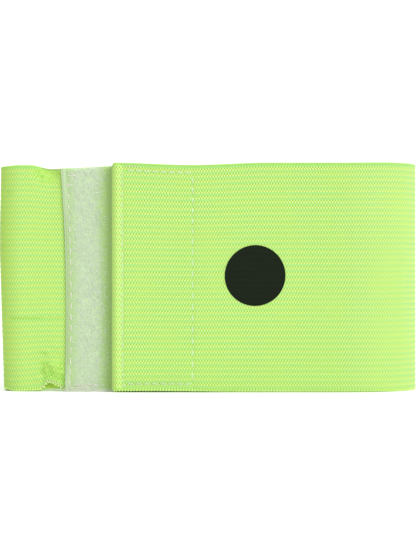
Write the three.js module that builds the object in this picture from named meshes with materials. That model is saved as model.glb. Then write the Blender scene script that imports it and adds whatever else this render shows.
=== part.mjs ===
// Captain armband: one strip of wide elastic webbing closed to a flattened loop by hook and loop.
// The loop stands on its lower selvage, as a cuff does. +X runs along it, -Y faces the front and
// +Z is up. Sizes are in millimetres and angles in degrees. The origin is the bottom centre.

import * as THREE from "three";

// The webbing, and the clearances between sewn and folded layers.
const webbingWidth = 75;
const webbingThickness = 1.4;
const layerGap = 0.3;
const foldGap = 0.3;

// The loop seen from above: a full round end on the right, a pressed fold on the left.
const closedLength = 139.9;
const shoulderRadius = 34.2;
const shoulderTurn = 34.5;
const roundEndRadius = 15.2;
const pressedShoulderRadius = 10;
const pressedShoulderTurn = 35;
const pressedFoldRadius = 4.6;
const backBow = 1.5;

// The outer end: a folded hem, with the hook patch sewn behind it.
const tabSetback = 37.9;
const hemLength = 3.8;
const tabSag = 0.65;
const tabSagCentre = 26;
const tabSagReach = 24;
const hookLength = 23.1;
const hookThickness = 1.3;
const hookMargin = 1.4;
const hookCornerRadius = 0.8;

// The inner end: the loop patch sewn on it, with its left edge cut in a slight curve.
const loopLength = 48.6;
const loopThickness = 1.2;
const loopTopInset = 0.45;
const loopEdgeLean = 1.3;
const loopEdgeBelly = 0.75;
const loopCornerRadius = 0.6;
const innerEndMargin = 1;

// The stretch between the pressed fold and the loop patch, gathered by the sewing.
const gatherLength = 14.5;
const archLift = 3.4;
const archFlare = 2.2;
const archFlareHeight = 3;
const topDip = 1.35;
const topTilt = 1.6;
const topTiltHeight = 5;
const foldLean = 1.3;
const foldLeanHeight = 45;
const foldLeanPower = 1.5;
const foldLeanFade = 25;
const puckerFade = 1.7;

// Each pucker of the gathered stretch. fromPatch and reach are shares of gatherLength, up and
// rise are shares of webbingWidth, and out is a share of webbingThickness, inwards if negative.
const puckers = [
  { name: "lower bulge", fromPatch: 0.3, reach: 0.2, up: 0.145, rise: 0.075, out: 0.6 },
  { name: "crease beside it", fromPatch: 0.57, reach: 0.1, up: 0.1, rise: 0.035, out: -0.55 },
  { name: "crease under it", fromPatch: 0.34, reach: 0.12, up: 0.078, rise: 0.014, out: -0.35 },
  { name: "cross crease", fromPatch: 0.55, reach: 0.5, up: 0.305, rise: 0.016, out: -0.3 },
  { name: "upper hollow", fromPatch: 0.35, reach: 0.3, up: 0.9, rise: 0.035, out: -0.4 },
];

// The upper and lower edges of the gathered stretch. fromPatch, before and after are shares of
// gatherLength: the place of the deepest point and the reach on the fold side and patch side.
const archShape = { fromPatch: 0.35, before: 0.29, after: 0.52 };
const flareShape = { fromPatch: 0.33, before: 0.29, after: 0.33 };
const dipShape = { fromPatch: 0.3, before: 0.5, after: 2.6 };
const tiltShape = { fromPatch: 0.36, before: 0.5, after: 0.36 };

// Rows of vertices across the webbing, as shares of its width, closer at the two selvages.
const rowShares = [
  0, 0.018, 0.038, 0.06, 0.085, 0.115, 0.15, 0.2, 0.26, 0.305, 0.35, 0.47, 0.6, 0.72, 0.82, 0.89,
  0.93, 0.965, 1,
];

// Steps of the strip's outline, by stretch.
const hemSteps = 2;
const hemFoldSteps = 8;
const frontSteps = 12;
const shoulderSteps = 6;
const roundEndSteps = 18;
const backSteps = 10;
const pressedFoldSteps = 12;
const pressedShoulderSteps = 5;
const gatherSteps = 18;
const underPatchSteps = 6;
const curveSteps = 10;

// The step used to read how steep a pucker is.
const slopeStep = 0.05;

// How far behind the front face each layer of the closure lies.
const hemThickness = 2 * webbingThickness + foldGap;
const hookFront = webbingThickness + layerGap;
const loopFront = Math.max(hemThickness, hookFront + hookThickness) + layerGap;
const innerFront = loopFront + loopThickness + layerGap;

// Places along X, worked out from the overall length.
const leftEnd = -closedLength / 2;
const rightEnd = closedLength / 2;
const shoulderAngle = THREE.MathUtils.degToRad(shoulderTurn);
const pressedAngle = THREE.MathUtils.degToRad(pressedShoulderTurn);
const roundEndX = rightEnd - roundEndRadius;
const shoulderX = roundEndX - (shoulderRadius - roundEndRadius) * Math.sin(shoulderAngle);
const pressedFoldX = leftEnd + pressedFoldRadius;
const pressedShoulderX =
  pressedFoldX + (pressedShoulderRadius - pressedFoldRadius) * Math.sin(pressedAngle);
const hemEdge = leftEnd + tabSetback;
const patchEdge = pressedShoulderX + gatherLength;
const innerEnd = patchEdge + loopLength + innerEndMargin;

// Depths of the two end rounds behind the front face, and the whole depth of the loop.
const roundEndDepth =
  shoulderRadius - (shoulderRadius - roundEndRadius) * Math.cos(shoulderAngle);
const pressedFoldDepth =
  innerFront + pressedShoulderRadius - (pressedShoulderRadius - pressedFoldRadius) * Math.cos(pressedAngle);
const loopDepth = roundEndDepth + roundEndRadius;
const frontY = -loopDepth / 2;

// The back wall is the straight line that touches both end rounds.
const apartX = roundEndX - pressedFoldX;
const apartDepth = roundEndDepth - pressedFoldDepth;
const backLength = Math.sqrt(apartX ** 2 + apartDepth ** 2 - (roundEndRadius - pressedFoldRadius) ** 2);
const backHeading =
  Math.PI +
  Math.atan2(apartDepth, apartX) +
  Math.asin((roundEndRadius - pressedFoldRadius) / Math.hypot(apartX, apartDepth));

// A station is a place on the strip's outer face seen from above, with the heading of the strip.
function makeStation(x, depth, heading, travelled) {
  return { x, depth, heading, travelled };
}

// The way that the outer face looks at a heading, as X and depth.
function lookOf(heading) {
  return { x: Math.sin(heading), depth: -Math.cos(heading) };
}

// Adds a straight stretch, which may bow outwards in the middle.
function addStraight(stations, length, steps, bow = 0) {
  const start = stations[stations.length - 1];
  const look = lookOf(start.heading);
  for (let step = 1; step <= steps; step += 1) {
    const share = step / steps;
    const outward = bow * Math.sin(Math.PI * share) ** 2;
    const slope = ((bow * Math.PI) / length) * Math.sin(2 * Math.PI * share);
    stations.push(
      makeStation(
        start.x + Math.cos(start.heading) * length * share + look.x * outward,
        start.depth + Math.sin(start.heading) * length * share + look.depth * outward,
        start.heading - Math.atan(slope),
        start.travelled + length * share,
      ),
    );
  }
}

// Adds a round stretch that turns to a new heading about a centre on the strip's inner side.
function addArc(stations, radius, endHeading, steps) {
  const start = stations[stations.length - 1];
  const startLook = lookOf(start.heading);
  const centreX = start.x - radius * startLook.x;
  const centreDepth = start.depth - radius * startLook.depth;
  for (let step = 1; step <= steps; step += 1) {
    const heading = THREE.MathUtils.lerp(start.heading, endHeading, step / steps);
    const look = lookOf(heading);
    stations.push(
      makeStation(
        centreX + radius * look.x,
        centreDepth + radius * look.depth,
        heading,
        start.travelled + radius * (heading - start.heading),
      ),
    );
  }
}

// The strip's outline from the raw edge inside the hem to the raw edge under the loop patch.
function stripOutline() {
  const foldRadius = hemThickness / 2;
  const stations = [makeStation(hemEdge + hemLength, hemThickness, -Math.PI, 0)];
  addStraight(stations, hemLength - foldRadius, hemSteps);
  addArc(stations, foldRadius, 0, hemFoldSteps);
  addStraight(stations, shoulderX - hemEdge - foldRadius, frontSteps);
  addArc(stations, shoulderRadius, shoulderAngle, shoulderSteps);
  addArc(stations, roundEndRadius, backHeading, roundEndSteps);
  addStraight(stations, backLength, backSteps, backBow);
  addArc(stations, pressedFoldRadius, 2 * Math.PI - pressedAngle, pressedFoldSteps);
  addArc(stations, pressedShoulderRadius, 2 * Math.PI, pressedShoulderSteps);
  addStraight(stations, gatherLength, gatherSteps);
  addStraight(stations, innerEnd - patchEdge, underPatchSteps);
  return stations;
}

// A smooth hump of height 1 that falls to 0 at its reach on either side of its centre.
function hump(place, centre, reachBelow, reachAbove) {
  const distance = place - centre;
  const reach = distance < 0 ? reachBelow : reachAbove;
  return 0.5 * (1 + Math.cos(Math.PI * Math.min(Math.abs(distance) / reach, 1)));
}

// The hump of an edge shape at a distance from the loop patch, measured towards the fold.
function edgeHump(shape, fromPatch) {
  return hump(
    fromPatch,
    shape.fromPatch * gatherLength,
    shape.after * gatherLength,
    shape.before * gatherLength,
  );
}

// How far the gathered webbing stands out of its plain outline.
function puckerOut(fromPatch, height) {
  if (fromPatch <= 0) {
    return 0;
  }
  const fade = THREE.MathUtils.smoothstep(fromPatch, 0, puckerFade);
  let out = 0;
  for (const pucker of puckers) {
    const across = (fromPatch - pucker.fromPatch * gatherLength) / (pucker.reach * gatherLength);
    const upward = (height - pucker.up * webbingWidth) / (pucker.rise * webbingWidth);
    out += pucker.out * webbingThickness * Math.exp(-(across ** 2) - upward ** 2);
  }
  const flare = archFlare * edgeHump(flareShape, fromPatch) * Math.exp(-height / archFlareHeight);
  const topDistance = webbingWidth - height;
  const tilt = topTilt * edgeHump(tiltShape, fromPatch) * Math.exp(-topDistance / topTiltHeight);
  return fade * (out + flare - tilt);
}

// The outline's own travelled length at the loop patch's edge and at the pressed fold.
const outline = stripOutline();
const patchTravel = outline[outline.length - 1 - underPatchSteps].travelled;
const foldStartTravel =
  patchTravel -
  gatherLength -
  pressedShoulderRadius * pressedAngle -
  pressedFoldRadius * (2 * Math.PI - pressedAngle - backHeading);

// How much of the pressed fold's lean a station takes: all of it at the fold, none at the patch.
function leanShare(travelled) {
  const alongBack = THREE.MathUtils.smoothstep(travelled, foldStartTravel - foldLeanFade, foldStartTravel);
  const alongGather = THREE.MathUtils.smoothstep(patchTravel - travelled, 0, gatherLength);
  return Math.min(alongBack, alongGather);
}

// The upper edge of the webbing near the gathers, at a distance from the loop patch.
function gatheredTop(fromPatch) {
  return webbingWidth - topDip * edgeHump(dipShape, fromPatch);
}

// The lower and upper edge of the strip at a station.
function stripEdges(station) {
  const fromPatch = patchTravel - station.travelled;
  const onTab = station.travelled < foldStartTravel;
  if (onTab) {
    const fromHem = station.x - hemEdge;
    const sag = tabSag * hump(fromHem, tabSagCentre, tabSagReach, tabSagReach);
    const isFront = station.heading < shoulderAngle;
    return { lower: 0, upper: webbingWidth - (isFront ? sag : 0) };
  }
  return {
    lower: archLift * edgeHump(archShape, fromPatch),
    upper: gatheredTop(fromPatch),
  };
}

// A point of the strip's outer face, and the same point moved inwards through the thickness.
function stripPoint(station, rowShare, inward) {
  const edges = stripEdges(station);
  const height = THREE.MathUtils.lerp(edges.lower, edges.upper, rowShare);
  const fromPatch = patchTravel - station.travelled;
  const out = puckerOut(fromPatch, height);
  const slopeAlong = (puckerOut(fromPatch - slopeStep, height) - out) / slopeStep;
  const slopeUp = (puckerOut(fromPatch, height + slopeStep) - out) / slopeStep;
  const look = lookOf(station.heading);
  const normal = new THREE.Vector3(
    look.x - Math.cos(station.heading) * slopeAlong,
    look.depth - Math.sin(station.heading) * slopeAlong,
    -slopeUp,
  ).normalize();
  const leanAtHeight = Math.max(0, 1 - height / foldLeanHeight) ** foldLeanPower;
  const lean = foldLean * leanShare(station.travelled) * leanAtHeight;
  const point = new THREE.Vector3(
    station.x + look.x * out + lean,
    frontY + station.depth + look.depth * out,
    height,
  );
  return point.addScaledVector(normal, -inward);
}

// A closed wall between two grids of points, given as rows along and columns across.
function wallGeometry(outerGrid, innerGrid) {
  const along = outerGrid.length;
  const across = outerGrid[0].length;
  const points = [...outerGrid.flat(), ...innerGrid.flat()];
  const innerStart = along * across;
  const triangles = [];
  const addFace = (a, b, c, d) => triangles.push(a, b, c, a, c, d);
  for (let i = 0; i < along - 1; i += 1) {
    for (let j = 0; j < across - 1; j += 1) {
      const corner = i * across + j;
      addFace(corner, corner + across, corner + across + 1, corner + 1);
      const inner = innerStart + corner;
      addFace(inner, inner + 1, inner + across + 1, inner + across);
    }
    const low = i * across;
    addFace(low, innerStart + low, innerStart + low + across, low + across);
    const high = i * across + across - 1;
    addFace(high, high + across, innerStart + high + across, innerStart + high);
  }
  for (let j = 0; j < across - 1; j += 1) {
    addFace(j, j + 1, innerStart + j + 1, innerStart + j);
    const last = (along - 1) * across + j;
    addFace(last, innerStart + last, innerStart + last + 1, last + 1);
  }
  const geometry = new THREE.BufferGeometry();
  geometry.setFromPoints(points);
  geometry.setIndex(triangles);
  geometry.computeVertexNormals();
  return geometry;
}

// The webbing strip: one wall that folds under at the hem and runs once round the arm.
function elasticBandGeometry() {
  const grid = (inward) =>
    outline.map((station) => rowShares.map((rowShare) => stripPoint(station, rowShare, inward)));
  return wallGeometry(grid(0), grid(webbingThickness));
}

// A flat sewn patch: an upright outline in X and Z, given its thickness and its front depth.
function patchGeometry(shape, thickness, frontDepth) {
  const geometry = new THREE.ExtrudeGeometry(shape, {
    depth: thickness,
    bevelEnabled: false,
    curveSegments: curveSteps,
  });
  geometry.rotateX(Math.PI / 2);
  geometry.translate(0, frontY + frontDepth + thickness, 0);
  return geometry;
}

// The hook patch: a rectangle with small corner radii, inside the webbing's width.
function hookPatchGeometry() {
  const left = hemEdge + hemLength + layerGap;
  const right = left + hookLength;
  const low = hookMargin;
  const high = webbingWidth - tabSag - hookMargin;
  const shape = new THREE.Shape();
  shape.moveTo(left + hookCornerRadius, low);
  shape.lineTo(right - hookCornerRadius, low);
  shape.quadraticCurveTo(right, low, right, low + hookCornerRadius);
  shape.lineTo(right, high - hookCornerRadius);
  shape.quadraticCurveTo(right, high, right - hookCornerRadius, high);
  shape.lineTo(left + hookCornerRadius, high);
  shape.quadraticCurveTo(left, high, left, high - hookCornerRadius);
  shape.lineTo(left, low + hookCornerRadius);
  shape.quadraticCurveTo(left, low, left + hookCornerRadius, low);
  return patchGeometry(shape, hookThickness, hookFront);
}

// The loop patch: flush below, just under the webbing's top edge, with a bellied left edge.
function loopPatchGeometry() {
  const right = patchEdge + loopLength;
  const low = 0;
  const highLeft = gatheredTop(loopEdgeLean) - loopTopInset;
  const highRight = gatheredTop(-loopLength) - loopTopInset;
  const middle = (low + highLeft) / 2;
  const topLeft = patchEdge - loopEdgeLean;
  const belly = patchEdge + 2 * loopEdgeBelly;
  const shape = new THREE.Shape();
  shape.moveTo(patchEdge + loopCornerRadius, low);
  shape.lineTo(right - loopCornerRadius, low);
  shape.quadraticCurveTo(right, low, right, low + loopCornerRadius);
  shape.lineTo(right, highRight - loopCornerRadius);
  shape.quadraticCurveTo(right, highRight, right - loopCornerRadius, highRight);
  shape.lineTo(topLeft + loopCornerRadius, highLeft);
  shape.quadraticCurveTo(topLeft, highLeft, topLeft, highLeft - loopCornerRadius);
  shape.quadraticCurveTo(belly, middle, patchEdge, loopCornerRadius);
  shape.quadraticCurveTo(patchEdge, low, patchEdge + loopCornerRadius, low);
  return patchGeometry(shape, loopThickness, loopFront);
}

// A named piece with its own material.
function makePiece(name, geometry, colour, roughness) {
  const material = new THREE.MeshStandardMaterial({ color: colour, roughness, metalness: 0 });
  const piece = new THREE.Mesh(geometry, material);
  piece.name = name;
  return piece;
}

const armband = new THREE.Group();
armband.name = "captain_armband";
armband.add(makePiece("elastic_band", elasticBandGeometry(), 0xc2ef81, 0.8));
armband.add(makePiece("loop_patch", loopPatchGeometry(), 0xc3dbac, 0.95));
armband.add(makePiece("hook_patch", hookPatchGeometry(), 0xc3dbac, 0.7));

export default armband;
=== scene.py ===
# Dresses the packed captain armband: ribbed elastic webbing, hook and loop, stitching and a print.
# Lengths are in metres, in the packed model's frame: +X along the loop, -Y the front, +Z up.

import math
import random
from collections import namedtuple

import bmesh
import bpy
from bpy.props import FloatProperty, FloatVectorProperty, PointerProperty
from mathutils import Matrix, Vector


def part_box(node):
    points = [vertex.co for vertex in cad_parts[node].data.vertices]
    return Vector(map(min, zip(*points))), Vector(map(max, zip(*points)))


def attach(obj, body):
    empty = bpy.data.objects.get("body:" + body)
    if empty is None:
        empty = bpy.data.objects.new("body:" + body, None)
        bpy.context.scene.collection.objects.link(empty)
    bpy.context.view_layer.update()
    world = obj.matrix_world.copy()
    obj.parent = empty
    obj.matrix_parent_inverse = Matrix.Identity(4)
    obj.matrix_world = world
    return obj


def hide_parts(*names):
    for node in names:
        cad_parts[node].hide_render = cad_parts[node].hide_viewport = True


bl_info = {
    "name": "Captain armband",
    "version": (1, 0, 0),
    "blender": (4, 5, 0),
    "location": "3D View > Sidebar > Armband",
    "description": "Builds an elastic captain armband that closes with hook and loop",
    "category": "Add Mesh",
}

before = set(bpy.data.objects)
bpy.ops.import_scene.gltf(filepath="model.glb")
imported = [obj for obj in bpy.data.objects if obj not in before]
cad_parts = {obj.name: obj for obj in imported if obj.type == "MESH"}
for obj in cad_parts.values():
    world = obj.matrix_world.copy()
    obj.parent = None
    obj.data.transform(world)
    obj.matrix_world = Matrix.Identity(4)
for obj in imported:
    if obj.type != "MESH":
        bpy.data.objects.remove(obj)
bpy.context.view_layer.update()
BAND_LOW, BAND_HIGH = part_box("elastic_band")
LOOP_LOW, LOOP_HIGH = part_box("loop_patch")
HOOK_LOW, HOOK_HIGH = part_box("hook_patch")
BODY = "root"
MM = 0.001


def srgb(red, green, blue):
    """A screen colour, 0 to 255, as linear red, green and blue"""

    def linear(channel):
        share = channel / 255
        return share / 12.92 if share <= 0.04045 else ((share + 0.055) / 1.055) ** 2.4

    return (linear(red), linear(green), linear(blue))


def length(name, description, value):
    """A length property in metres"""
    return FloatProperty(name=name, description=description, default=value, subtype="DISTANCE")


def angle(name, description, degrees):
    """An angle property, given in degrees"""
    return FloatProperty(
        name=name, description=description, default=math.radians(degrees), subtype="ANGLE"
    )


def colour(name, description, screen):
    """A colour property, given as screen values"""
    return FloatVectorProperty(
        name=name, description=description, default=srgb(*screen), subtype="COLOR", size=3,
        min=0.0, max=1.0,
    )


class WebbingSettings(bpy.types.PropertyGroup):
    """The elastic webbing's sizes and colours"""

    width: length("Width", "Across the webbing, selvage to selvage", BAND_HIGH.z - BAND_LOW.z)
    thickness: length("Thickness", "Through the webbing", 1.4 * MM)
    rib_pitch: length("Rib pitch", "From one plain rib to the next", 1.823 * MM)
    first_rib: length("First rib", "From the lower selvage to the first rib's centre", 1.4 * MM)
    rib_height: length("Rib height", "How far a rib stands over the rows of dots", 0.11 * MM)
    dot_pitch: length("Dot pitch", "From one woven dot to the next along the webbing", 0.933 * MM)
    bead_pitch: length("Selvage bead pitch", "From one selvage bead to the next", 0.96 * MM)
    rib_colour: colour("Rib colour", "The plain light green ribs", (152, 205, 112))
    field_colour: colour("Field colour", "The yellow rows between the ribs", (176, 207, 93))
    bright_dot_colour: colour("Bright dot colour", "The raised yellow floats", (210, 224, 161))
    dark_dot_colour: colour("Dark dot colour", "The green gaps over the floats", (118, 187, 34))
    olive_dot_colour: colour("Olive dot colour", "The gaps beside the floats", (145, 185, 33))
    # Painted shade: a darker colour in the gaps between the selvages' beads, where their shade falls
    bead_gap_shade_colour: colour("Rim colour", "The gaps behind the selvages' beads", (118, 176, 62))
    bead_colour: colour("Bead colour", "The upper selvage's beads", (160, 209, 104))
    # Painted light: the lower beads get a paler colour that stands in for light on their underside, which
    # faces the floor
    lower_bead_painted_light_colour: colour("Lower bead colour", "The lower selvage's beads", (208, 246, 144))
    # Painted sheen: a paler, greyer colour mixed in where the shoulder turns away
    shoulder_sheen_colour: colour("Shoulder colour", "Mixed in where the shoulder turns away", (156, 174, 124))
    # Painted light: the inner face behind the arch gets a lighter colour that makes up for its shade
    inner_painted_light_colour: colour("Inner colour", "The inner face behind the arch", (192, 232, 92))
    # Painted shade round the pressed end: a deeper, more saturated green that stands in for the shade there
    # and the green light the webbing bounces into it
    fold_shade_colour: colour("Fold colour", "The stretched webbing round the pressed end", (156, 196, 58))
    smooth_colour: colour("Smooth colour", "Where the puckers hide the weave", (160, 204, 92))
    hem_colour: colour("Hem colour", "Where the hem stretches the weave", (206, 236, 146))


class LoopShapeSettings(bpy.types.PropertyGroup):
    """The closed loop's outline seen from above"""

    overall: length("Overall length", "From end to end of the pressed loop", BAND_HIGH.x - BAND_LOW.x)
    front: length("Front face", "Where the front face lies", BAND_LOW.y)
    shoulder_radius: length("Shoulder radius", "The easy curve before the round end", 34.2 * MM)
    shoulder_turn: angle("Shoulder turn", "How far the easy curve turns", 34.5)
    round_radius: length("Round end radius", "The full round end", 15.2 * MM)
    pressed_shoulder_radius: length("Pressed shoulder radius", "The curve beside the fold", 10 * MM)
    pressed_shoulder_turn: angle("Pressed shoulder turn", "How far that curve turns", 35)
    pressed_radius: length("Pressed fold radius", "The pressed end's fold", 4.6 * MM)
    back_bow: length("Back bow", "How far the back wall bows outwards", 1.5 * MM)


class ClosureSettings(bpy.types.PropertyGroup):
    """The folded tab and the two sewn patches"""

    hem_length: length("Hem length", "The part that is folded under", 3.8 * MM)
    layer_gap: length("Layer gap", "The clearance between sewn layers", 0.3 * MM)
    fold_gap: length("Fold gap", "The clearance inside the hem's fold", 0.3 * MM)
    hem_corner: length("Hem corner", "How far down the hem's corners are cut", 1.7 * MM)
    hem_corner_run: length("Hem corner run", "How far in the hem's corners are cut", 0.9 * MM)
    hem_puff: length("Hem puff", "How far the hem swells over its fold", 0.16 * MM)
    tab_sag: length("Tab sag", "The dip of the tab's upper edge", 0.77 * MM)
    tab_sag_centre: length("Tab sag centre", "From the hem to the deepest dip", 26.2 * MM)
    tab_sag_reach: length("Tab sag reach", "How far the dip spreads each way", 26 * MM)
    tab_lift: length("Tab lift", "How much higher the tab is closed than the inner end", 0.19 * MM)
    tab_spread: length("Tab spread", "How much the sewn tab is widened", 0.18 * MM)
    end_spread: length("End spread", "How much more the slack webbing widens at its round end", 0.3 * MM)
    inner_draw: length("Inner draw", "How much the inner end is drawn in", 0.15 * MM)
    loop_lean: length("Loop patch lean", "How far its left edge leans out at the top", 1.3 * MM)
    loop_belly: length("Loop patch belly", "How far its left edge bows in", 0.75 * MM)
    loop_corner: length("Loop patch corner radius", "Its rounded corners", 0.6 * MM)
    margin: length("Pile-free margin", "The woven strip beside the pile", 1.6 * MM)
    pile_height: length("Pile height", "How far the loops stand up", 0.22 * MM)
    pile_start: length("Pile start", "From the patch's edge to where the loops stand thick", 5.6 * MM)
    pile_end: length("Pile end", "From the patch's edge to where they are worn", 8.9 * MM)
    pile_fade: length("Pile fade", "Over which the worn loops thin out", 5.0 * MM)
    pile_colour: colour("Pile colour", "The loops' own colour", (221, 231, 213))
    patch_colour: colour("Patch colour", "The ground where the loops stand thick", (180, 203, 159))
    sparse_colour: colour("Sparse patch colour", "The ground beside the margin", (163, 191, 134))
    # Partly painted shade: beside the tab the worn ground is also darker and greener, for the tab's shade
    # and the green light the webbing bounces onto it
    worn_and_shaded_colour: colour("Thin patch colour", "The ground where the loops are worn", (151, 179, 120))
    shaded_colour: colour("Shaded patch colour", "The ground at the tab", (162, 193, 120))
    margin_colour: colour("Margin colour", "The woven strip beside the pile", (172, 200, 140))
    margin_end_colour: colour("Margin end colour", "The same strip near its ends", (190, 214, 169))
    foot_colour: colour("Foot colour", "The patch's bare lower edge", (206, 212, 194))
    hook_colour: colour("Hook patch colour", "The hook tape's ground", (182, 200, 164))


class GatherSettings(bpy.types.PropertyGroup):
    """The stretch beside the loop patch that the sewing gathers"""

    reach: length("Gathered length", "From the loop patch to the pressed shoulder", 14.5 * MM)
    arch_lift: length("Arch lift", "How far the lower edge lifts", 2.6 * MM)
    arch_depth: length("Arch depth", "How far up the ribs follow that lift", 15 * MM)
    rib_lift: length("Rib lift", "How far the ribs over the lower edge are drawn up", 1.2 * MM)
    rib_lift_height: length("Rib lift height", "How fast that dies out upwards", 25 * MM)
    flare: length("Flare", "How far the lifted edge kicks out", 0.6 * MM)
    flare_height: length("Flare height", "How fast the kick dies out upwards", 2.4 * MM)
    top_dip: length("Top dip", "How far the upper edge dips", 1.18 * MM)
    top_depth: length("Top depth", "How far down the ribs follow that dip", 45 * MM)
    top_tilt: length("Top tilt", "How far the upper edge falls back", 1.6 * MM)
    top_tilt_height: length("Top tilt height", "How fast that dies out downwards", 5 * MM)
    pinch_gap: length("Pinch gap", "Between the walls where the back's foot is pressed in", 0.5 * MM)
    pinch_height: length("Pinch height", "Where that pinch ends upwards", 30 * MM)
    back_dip: length("Back dip", "How far the back's upper edge sags there", 0.95 * MM)
    fold_lean: length("Fold lean", "How far the pressed end leans in at its foot", 1.42 * MM)
    fold_lean_height: length("Fold lean height", "Where the lean ends", 46 * MM)
    fold_top_lean: length("Fold top lean", "How far it leans in at its top", 0.37 * MM)
    fold_lean_fade: length("Fold lean fade", "Over which the back takes up the lean", 25 * MM)
    fade: length("Pucker fade", "Over which puckers start beside the patch", 1.7 * MM)


class StitchSettings(bpy.types.PropertyGroup):
    """The sewing"""

    thread: length("Thread diameter", "The sewing thread", 0.42 * MM)
    hem_line: length("Hem line", "From the hem's fold to its stitches", 3.5 * MM)
    hem_pitch: length("Hem stitch pitch", "From one hem stitch to the next", 3.3 * MM)
    hem_stitch: length("Hem stitch length", "One hem stitch", 1.75 * MM)
    hem_wander: length("Hem line wander", "How far the hem line strays at its foot", 0.65 * MM)
    box_row: length("Box row inset", "From the selvages to the box's rows", 2.5 * MM)
    box_start: length("Box start", "From the hem's fold to the box's first stitch", 5.1 * MM)
    box_column: length("Box column", "From the hem's fold to the box's far side", 26.6 * MM)
    row_pitch: length("Row stitch pitch", "From one stitch to the next in the rows", 2.69 * MM)
    column_pitch: length("Column stitch pitch", "The same at the column's foot", 3.9 * MM)
    column_gain: FloatProperty(
        name="Column gain", description="How much shorter each column stitch is than the last",
        default=0.009, min=0.0, max=0.05,
    )
    patch_line: length("Patch line", "From the loop patch's edge to its stitches", 1.62 * MM)
    patch_pitch: length("Patch stitch pitch", "From one patch stitch to the next", 3.64 * MM)
    thread_colour: colour("Tab thread colour", "Translucent thread over the webbing", (186, 206, 168))
    patch_thread_colour: colour("Patch thread colour", "Thread on the patch", (204, 202, 188))
    catch_colour: colour("Catch thread colour", "The knots along the selvages", (198, 176, 178))
    # Painted shade: the needle pits are small dark discs that stand for the shade in them
    hole_shade_colour: colour("Needle hole colour", "The pits at the stitches' ends", (122, 172, 58))


class PrintSettings(bpy.types.PropertyGroup):
    """The plain printed disc on the front"""

    diameter: length("Diameter", "Across the disc", 20 * MM)
    film: length("Film thickness", "How far the film stands over the ribs", 0.05 * MM)
    centre_x: length("Centre along", "The disc's place along the loop", 15.1 * MM)
    centre_z: length("Centre height", "The disc's height over the lower selvage", 38.1 * MM)
    print_colour: colour("Print colour", "The transfer film", (11, 21, 6))


class StageSettings(bpy.types.PropertyGroup):
    """The floor, the lights and the camera"""

    camera_distance: length("Camera distance", "From the front face to the camera", 0.55)
    view_width: length("View width", "What the view spans at the front face", 136.53 * MM)
    camera_height: length("Camera height", "Over the floor", 37.72 * MM)
    camera_aside: length("Camera aside", "Off the loop's middle", -0.35 * MM)
    key_power: FloatProperty(name="Key power", description="The main light", default=1.9, min=0.0)
    key_softness: angle("Key softness", "How wide the main light looks", 24)
    top_power: FloatProperty(name="Top power", description="The floor's light", default=16.0, min=0.0)
    fill: FloatProperty(name="Fill", description="The room's even light", default=0.68, min=0.0)
    floor_colour: colour("Floor colour", "The floor and backdrop", (249, 249, 248))


Station = namedtuple("Station", "x depth heading")
Stretch = namedtuple("Stretch", "begins length start radius bow")

# Each bulge or hollow of the gathered stretch, in millimetres: its distance from the loop patch
# and its height, how far it reaches each way, and how far it stands out.
Bulge = namedtuple("Bulge", "from_patch up reach rise out")
BULGES = (
    Bulge(from_patch=3.9, up=8.3, reach=2.7, rise=1.5, out=0.9),
    Bulge(from_patch=6.75, up=6.4, reach=0.85, rise=0.9, out=0.5),
    Bulge(from_patch=2.3, up=6.2, reach=2.0, rise=0.8, out=0.35),
    Bulge(from_patch=4.9, up=4.5, reach=2.8, rise=0.8, out=0.25),
    Bulge(from_patch=6.2, up=12.8, reach=1.2, rise=0.8, out=0.25),
    Bulge(from_patch=3.4, up=15.0, reach=1.2, rise=0.8, out=0.2),
    Bulge(from_patch=9.6, up=4.2, reach=1.6, rise=1.4, out=0.3),
    Bulge(from_patch=5.2, up=72.2, reach=3.0, rise=1.8, out=-0.4),
    Bulge(from_patch=6.9, up=70.8, reach=0.8, rise=0.7, out=0.3),
    Bulge(from_patch=2.1, up=72.4, reach=0.55, rise=1.7, out=0.3),
)

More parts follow.
